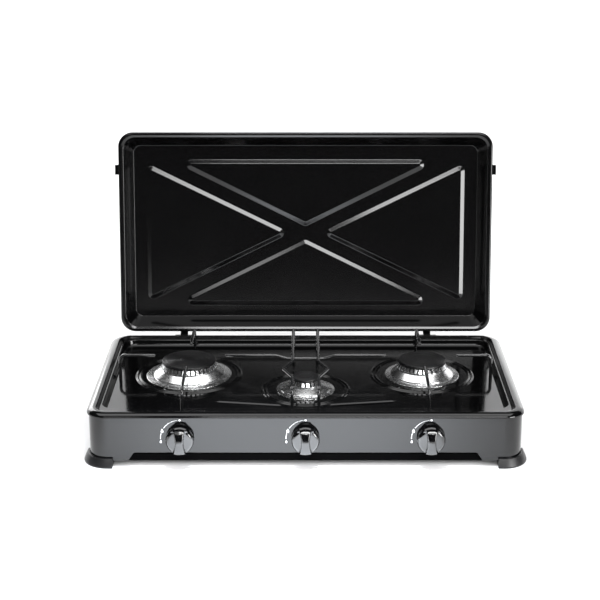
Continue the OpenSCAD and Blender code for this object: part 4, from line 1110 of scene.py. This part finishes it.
class STOVE_OT_knobs(bpy.types.Operator):
    """Gloss knobs: a round-edged disc and a grip bar with hollow sides"""

    bl_idname = "stove.knobs"
    bl_label = "Knobs"

    def execute(self, context):
        s, casing = context.scene.stove_knobs, context.scene.stove_casing
        tint = context.scene.stove_finishes.knob
        finish = moulded("knob_plastic", tint, rough=0.07, grain=1400.0, depth=0.02, coat=1.0)
        panel = MIDDLE_Y - casing.depth / 2
        for k, side in enumerate(SIDES):
            shape = Shape()
            x = (k - 1) * context.scene.stove_burners.pitch
            disc, front = s.gap + s.disc, s.gap + s.long
            profile = filleted(
                [
                    (0, s.gap),
                    (s.hub, s.gap),
                    (s.hub, s.gap + s.cavity),
                    (s.radius - s.wall, s.gap + s.cavity),
                    (s.radius - s.wall, s.gap),
                    (s.radius - DISC_DRAFT, s.gap),
                    (s.radius, s.gap + DISC_WIDEST),
                    (s.radius - DISC_EDGE, disc),
                    (s.grip / 2, disc + DISC_RISE),
                    (0, disc + DISC_RISE),
                ],
                KNOB_ROUNDS,
                6,
            )
            shape.grid(self.turned_to_front(profile, x, s.height, panel), wrap=True)
            shape.grid(self.grip(s, x, panel, disc, front), wrap=True)
            name, body, node = "turn_knob_" + side, "turn_" + side, "knob_" + side
            add_piece(name, shape, finish, "knob_plastic", body, node, sharp=KNOB_SHARP)
        return {"FINISHED"}

    @staticmethod
    def turned_to_front(profile, x, height, panel):
        """A profile of (radius, distance in front of the panel) turned about the knob's axis."""
        rows = turned(profile, (0, 0), 96)
        return np.stack([x + rows[..., 0], panel - rows[..., 2], height + rows[..., 1]], -1)

    @staticmethod
    def grip(s, x, panel, disc, front):
        """Outlines of the bar from its foot to its crown. An outline is two hollow sides, half width
        grip / 2 + R - sqrt(R^2 - v^2), closed by arcs of the knob's circle and kept inside the disc. It moves
        in along a flared foot and a round edge; the front is arched, front - (v - v0)^2 / (2 * arch), and
        closes on the middle line. A row of the foot has no drop from the front."""
        foot, edge = GRIP_FOOT, GRIP_EDGE
        turn = np.linspace(0, np.pi / 2, 7)
        flat = edge + GRIP_ROW * np.arange(1, 3)
        inset = np.concatenate([-foot * (1 - np.sin(turn)), edge * (1 - np.cos(turn)), flat])
        low = np.concatenate([disc - GRIP_SINK + foot * (1 - np.cos(turn)), np.zeros(9)])
        drop = np.concatenate([np.full(7, np.nan), edge * (1 - np.sin(turn)), np.zeros(2)])
        rows = []
        for move, z, below in zip(inset, low, drop):
            rim = s.radius - GRIP_END if np.isnan(below) else s.nose
            reach = np.sqrt(rim**2 - (s.grip / 2 + GRIP_SPREAD) ** 2)
            v = np.linspace(-reach, reach, 25)
            half = s.grip / 2 + s.hollow - np.sqrt(s.hollow**2 - v**2)
            end = np.arctan2(reach, half[-1])
            arc = np.linspace(end, np.pi - end, 15)[1:-1]
            cap = np.hypot(half[-1], reach) * np.stack([np.cos(arc), np.sin(arc)], -1)
            side = np.stack([half, v], -1)
            outline = offset_loop(np.concatenate([side, cap, -side, -cap]), -move)
            reached = np.linalg.norm(outline, axis=1)[:, None]
            outline = outline * np.minimum(1, (s.radius - GRIP_LIMIT) / reached)
            arched = front - (outline[:, 1] + ARCH_LOW) ** 2 / (2 * s.arch) - below
            away = np.full(len(outline), z) if np.isnan(below) else arched
            rows.append(np.stack([x + outline[:, 0], panel - away, s.height + outline[:, 1]], -1))
        spine = rows[-1].copy()
        spine[:, 0] = x
        spine[:, 1] -= SPINE
        return np.stack(rows + [spine])


INK = 0.0001  # thickness of the print
INK_FACE = 0.00012  # the print's face in front of the panel
DOT = 0.0016  # radius
ARCS = ((6, 56, 0.4), (74, 92, 1.0))  # degrees left of the top, from and to, and share of the width at first
FLAMES = ((65, 0.0034), (100, 0.0025))  # degrees left of the top, and size


class STOVE_OT_dial_marks(bpy.types.Operator):
    """Printed dot, arc and flame signs beside each knob"""

    bl_idname = "stove.dial_marks"
    bl_label = "Dial marks"

    def execute(self, context):
        s, casing = context.scene.stove_knobs, context.scene.stove_casing
        finish = print_ink("dial_ink", context.scene.stove_finishes.print)
        panel = MIDDLE_Y - casing.depth / 2
        for k, side in enumerate(SIDES):
            x = (k - 1) * context.scene.stove_burners.pitch
            shape = Shape()
            ring = np.linspace(0, 2 * np.pi, 24, endpoint=False)
            marks = [DOT * np.stack([np.cos(ring), np.sin(ring)], -1) + [0, s.dial]]
            marks += [self.arc(s, *arc) for arc in ARCS] + [self.flame(s, *flame) for flame in FLAMES]
            for mark in marks:
                face = np.full(len(mark), panel - INK_FACE)
                shape.fill((0, -1, 0), np.stack([x + mark[:, 0], face, s.height + mark[:, 1]], -1))
            add_piece("dial_print_" + side, shape, finish, "dial_print", "body", sheet=INK)
        return {"FINISHED"}

    @staticmethod
    def arc(s, start, stop, thin):
        """A band round the knob, from one angle left of the top to another, that grows from a share of the
        line's width to the whole."""
        turn = np.radians(90 + np.linspace(start, stop, 24))
        ring = np.stack([np.cos(turn), np.sin(turn)], -1)
        half = s.line / 2 * np.linspace(thin, 1, 24)[:, None]
        return np.concatenate([(s.dial - half) * ring, ((s.dial + half) * ring)[::-1]])

    @staticmethod
    def flame(s, angle, size):
        """A drop at an angle round the dial: x = 0.85 * size * sin(t) * sin(t / 2)^1.5, y = size * cos(t)."""
        t = np.linspace(0, 2 * np.pi, 28, endpoint=False)
        drop = np.stack([0.85 * size * np.sin(t) * np.sin(t / 2) ** 1.5, size * np.cos(t)], -1)
        at = np.radians(90 + angle)
        return drop + s.dial * np.array([np.cos(at), np.sin(at)])


# Corners of the flats of the four pressed triangles, measured from the middle of the panel
TRIANGLES = (
    ((-0.196, -0.112), (0.196, -0.112), (0, -0.0155)),
    ((0.196, 0.117), (-0.196, 0.117), (0, 0.0205)),
    ((-0.256, 0.1075), (-0.256, -0.1025), (-0.0395, 0.0025)),
    ((0.256, -0.1025), (0.256, 0.1075), (0.0395, 0.0025)),
)
PAD_OUTSIDE, PAD_INSIDE = 0.002, 0.0012  # strips of the panel and of the flat, drawn with a triangle's flank
PAD_BEND = 0.005  # radius at the flank's foot and head
PANEL_STRIP = 0.014  # of the panel, drawn with the lid's wall
CORNER_RUN = 0.005  # past the wall, where the panel's corner radius is reached
ROLL_MIDDLE = 0.0024  # of the rolled edge, from the lid's edge and its lowest face
ROLL_START = 52  # degrees above level, where the roll meets the wall
BEVEL_RISE = 0.325  # of the hem's bevel, for its width
INNER_WALL = 0.0008  # the wall's inner face behind its outer one, at the panel
HEM_ROUNDS = (0.0008, 0.0014)  # at the hem's and the bevel's inner edge


class STOVE_OT_lid(bpy.types.Operator):
    """Pressed lid: four pressed triangles in its panel, soft bends, sloped walls and a rolled edge"""

    bl_idname = "stove.lid"
    bl_label = "Lid"

    def execute(self, context):
        s = context.scene.stove_lid
        section = self.section(s)
        share = np.clip(-section[:, 0] / (s.lean + CORNER_RUN), 0, 1)
        rows = rounded_rows(
            s.width / 2 + section[:, 0],
            s.depth / 2 + section[:, 0],
            s.corner + (s.inner_corner - s.corner) * share,
            -s.depth / 2,
            section[:, 1],
            14,
        )
        shape = Shape()
        shape.grid(self.swing(s, rows), wrap=True)
        for edge, level, facing in ((rows[0], s.height, 1), (rows[-1], s.height - s.sheet, -1)):
            pads = [self.pad(s, corners, level) for corners in TRIANGLES]
            up = self.swing(s, np.array([[0, 0, facing], [0, 0, 0.0]]))
            up = up[0] - up[1]
            for pad in pads:
                shape.grid(self.swing(s, pad), wrap=True, flip=facing > 0)
                shape.fill(up, self.swing(s, pad[-1]))
            shape.fill(up, self.swing(s, edge), *[self.swing(s, pad[0]) for pad in pads])
        finish = enamel("lid_enamel", context.scene.stove_finishes.enamel, rough=0.11, peel=0.02)
        add_piece("lid_pressing", shape, finish, "gloss_black", "lid", "lid_shell")
        return {"FINISHED"}

    @staticmethod
    def section(s):
        """Section of the lid's wall as (distance out from the edge, height): the panel's outer edge, a round
        bend, the sloped wall, most of a half circle for the rolled edge, a flat and a bevel inside it, and
        back up to the panel."""
        border = -s.lean - PANEL_STRIP
        turn = np.radians(np.linspace(ROLL_START, -90, 16))
        roll = np.stack([-ROLL_MIDDLE + s.roll * np.cos(turn), ROLL_MIDDLE + s.roll * np.sin(turn)], -1)
        outside = filleted([(border, s.height), (-s.lean, s.height), roll[0]], s.bend, 10)
        low = roll[-1, 1]
        inner = s.height - s.sheet
        back = filleted(
            [
                roll[-1],
                (-s.hem, low),
                (-s.hem - s.bevel, low + BEVEL_RISE * s.bevel),
                (-s.lean - INNER_WALL, inner),
                (border, inner),
            ],
            [*HEM_ROUNDS, s.bend - s.sheet],
            10,
        )
        return np.concatenate([outside[:-1], roll, back[1:]])

    @staticmethod
    def pad(s, corners, level):
        """Rows round a pressed triangle, from its outer foot to its flat: each is the flat's rounded outline
        moved out by d, at the height of a straight flank with round bends at its foot and its head."""
        loop = closed_fillet(corners, s.pad_round, 16)
        flank = filleted(
            [(s.flank + PAD_OUTSIDE, 0), (s.flank, 0), (0, -s.pad_depth), (-PAD_INSIDE, -s.pad_depth)],
            PAD_BEND,
            6,
        )
        rows = [
            np.concatenate([offset_loop(loop, d) + [0, -s.depth / 2], np.full((len(loop), 1), level + h)], 1)
            for d, h in flank
        ]
        return np.stack(rows)

    @staticmethod
    def swing(s, points):
        """From the closed lid's own frame, with its rear lower edge at the origin, to the open lid."""
        angle = -math.radians(LID_JOINT["range_deg"][1])
        y, z = points[..., 1] - s.hinge_back, points[..., 2] + s.hinge_drop
        pivot = LID_JOINT["pos_m"]
        return np.stack(
            [
                points[..., 0],
                pivot[1] + y * math.cos(angle) - z * math.sin(angle),
                pivot[2] + y * math.sin(angle) + z * math.cos(angle),
            ],
            -1,
        )


class STOVE_OT_carried_nodes(bpy.types.Operator):
    """Finishes of the CAD nodes that keep their own shape"""

    bl_idname = "stove.carried_nodes"
    bl_label = "Carried nodes"

    def execute(self, context):
        tints = context.scene.stove_finishes
        black = enamel("fitting_enamel", tints.enamel, rough=0.14)
        zinc = plated("zinc_plate", tints.zinc, rough=0.30, stain=0.7)
        brass = plated("turned_brass", tints.brass, rough=0.24, stain=0.6)
        cast = plated("cast_aluminium", tints.bright, rough=0.34, stain=0.75)
        finishes = {
            "lid_catches": black,
            "hinge_bracket_": black,
            "hinge_leaf_": black,
            "burner_cup_": cast,
            "spindle_": brass,
            "tap_screws": zinc,
            "tap_spring_": zinc,
            "tap_": brass,
            "jet_": brass,
            "hose_tail": brass,
            "rail_bolts": zinc,
        }
        for name, node in frame["nodes"].items():
            if node.hide_render:
                continue
            finish = next((f for stem, f in finishes.items() if name.startswith(stem)), zinc)
            node.data.materials.clear()
            node.data.materials.append(finish)
        return {"FINISHED"}


SWEEP_REACH = 12.0  # of the floor, to the front and to each side
SWEEP_START, SWEEP_ROUND = 4, 1.5  # where the floor starts to rise, and the radius of the rise
SWEEP_TOP = 4.5
FLOOR_GAP = 0.0002  # under the feet
ON_LID = (0.1, 0.19, 0.24)
# Area lights: name, setting that holds the power, place, target, width and height
AREA_LIGHTS = (
    ("front_light", "front", (0.265, -1.68, 1.36), ON_LID, (1.23, 0.42)),
    ("left_light", "left", (-0.69, -1.62, 1.22), ON_LID, (0.35, 0.35)),
    ("right_light", "side", (1.45, -1.35, 0.38), ON_LID, (0.8, 0.7)),
    ("top_light", "top", (-0.1, 0.03, 2.0), (-0.1, 0.03, 0), (2.6, 1.5)),
    ("rear_light", "rear", (-1.1, 1.5, 0.85), (-0.2, 0, 0.1), (0.7, 0.8)),
    ("rear_card", "card", (-0.78, 1.5, 0.3), (-0.3, 0, 0.07), (0.6, 0.6)),
    ("rear_card", "card", (0.78, 1.5, 0.3), (0.3, 0, 0.07), (0.6, 0.6)),
)
SENSOR = 36  # millimetres
SHIFT = -5.5 / 600  # the photograph's frame beside the camera's axis, as a share of its width


class STOVE_OT_stage(bpy.types.Operator):
    """Pale floor, soft studio light and the camera"""

    bl_idname = "stove.stage"
    bl_label = "Stage"

    def execute(self, context):
        s, scene = context.scene.stove_stage, context.scene
        scene.view_settings.view_transform = "Standard"
        shape = Shape()
        shape.grid(self.sweep())
        mesh = shape.mesh("studio_floor", False)
        mesh.materials.append(studio_floor("studio_paper", s.floor))
        floor = bpy.data.objects.new("studio_floor", mesh)
        scene.collection.objects.link(floor)
        world = bpy.data.worlds.new("studio")
        world.use_nodes = True
        back = world.node_tree.nodes["Background"]
        back.inputs["Color"].default_value = (1, 1, 1, 1)
        back.inputs["Strength"].default_value = s.ambient
        scene.world = world
        sky = self.lamp(scene, "sky_light", "SUN", s.sun, angle=math.radians(120))
        sky.rotation_euler = (math.radians(38), math.radians(12), 0)
        pool = self.lamp(
            scene,
            "floor_light",
            "SPOT",
            s.pool,
            color=(0.88, 0.935, 1.0),
            shadow_soft_size=0.1,
            spot_size=math.radians(29),
            spot_blend=1.0,
        )
        pool.location = (-0.03, -0.38, 1.5)
        sky.visible_glossy = pool.visible_glossy = False
        for name, power, place, target, (width, height) in AREA_LIGHTS:
            area = self.lamp(
                scene, name, "AREA", getattr(s, power), shape="RECTANGLE", size=width, size_y=height
            )
            area.location = place
            area.rotation_euler = (Vector(target) - Vector(place)).to_track_quat("-Z", "Y").to_euler()
            area.visible_diffuse = False
        data = bpy.data.cameras.new("photo_camera")
        data.lens = s.lens
        data.sensor_width = SENSOR
        data.shift_x = SHIFT
        camera = bpy.data.objects.new("photo_camera", data)
        camera.location = (0, -s.distance, s.height)
        camera.rotation_euler = (math.pi / 2 - s.pitch, 0, 0)
        scene.collection.objects.link(camera)
        scene.camera = camera
        return {"FINISHED"}

    @staticmethod
    def sweep():
        """Paper sweep: a floor strip carried along X, flat to SWEEP_START behind the stove, then a quarter
        circle and an upright wall."""
        turn = np.linspace(0, np.pi / 2, 25)
        y = np.concatenate(
            [[-SWEEP_REACH], SWEEP_START + SWEEP_ROUND * np.sin(turn), [SWEEP_START + SWEEP_ROUND]]
        )
        z = np.concatenate([[0], SWEEP_ROUND * (1 - np.cos(turn)), [SWEEP_TOP]]) - FLOOR_GAP
        x = np.array([SWEEP_REACH, -SWEEP_REACH])
        return np.stack([0 * y[:, None] + x, y[:, None] + 0 * x, z[:, None] + 0 * x], -1)

    @staticmethod
    def lamp(scene, name, kind, power, **settings):
        """Adds a light of one kind, with its power and its other settings."""
        data = bpy.data.lights.new(name, kind)
        data.energy = power
        for key, value in settings.items():
            setattr(data, key, value)
        lamp = bpy.data.objects.new(name, data)
        scene.collection.objects.link(lamp)
        return lamp


PIECES = (
    STOVE_OT_casing,
    STOVE_OT_base_pan,
    STOVE_OT_feet,
    STOVE_OT_top_cover,
    STOVE_OT_burners,
    STOVE_OT_pan_wires,
    STOVE_OT_knobs,
    STOVE_OT_dial_marks,
    STOVE_OT_lid,
    STOVE_OT_carried_nodes,
    STOVE_OT_stage,
)
GROUPS = {
    "stove_casing": CasingSizes,
    "stove_cover": CoverSizes,
    "stove_burners": BurnerSizes,
    "stove_wires": WireSizes,
    "stove_knobs": KnobSizes,
    "stove_lid": LidSizes,
    "stove_finishes": Finishes,
    "stove_stage": StageSettings,
}


class STOVE_PT_panel(bpy.types.Panel):
    """Lists the stove's pieces in the sidebar"""

    bl_idname = "STOVE_PT_panel"
    bl_label = "Camp stove"
    bl_space_type = "VIEW_3D"
    bl_region_type = "UI"
    bl_category = "Stove"

    def draw(self, context):
        for piece in PIECES:
            self.layout.operator(piece.bl_idname)


def register():
    for group in (*GROUPS.values(), *PIECES, STOVE_PT_panel):
        bpy.utils.register_class(group)
    for name, group in GROUPS.items():
        setattr(bpy.types.Scene, name, PointerProperty(type=group))


def unregister():
    for name in GROUPS:
        delattr(bpy.types.Scene, name)
    for group in reversed((*GROUPS.values(), *PIECES, STOVE_PT_panel)):
        bpy.utils.unregister_class(group)


def main():
    """Makes every piece in order."""
    register()
    bpy.ops.stove.casing()
    bpy.ops.stove.base_pan()
    bpy.ops.stove.feet()
    bpy.ops.stove.top_cover()
    bpy.ops.stove.burners()
    bpy.ops.stove.pan_wires()
    bpy.ops.stove.knobs()
    bpy.ops.stove.dial_marks()
    bpy.ops.stove.lid()
    bpy.ops.stove.carried_nodes()
    bpy.ops.stove.stage()


if __name__ == "__main__":
    main()
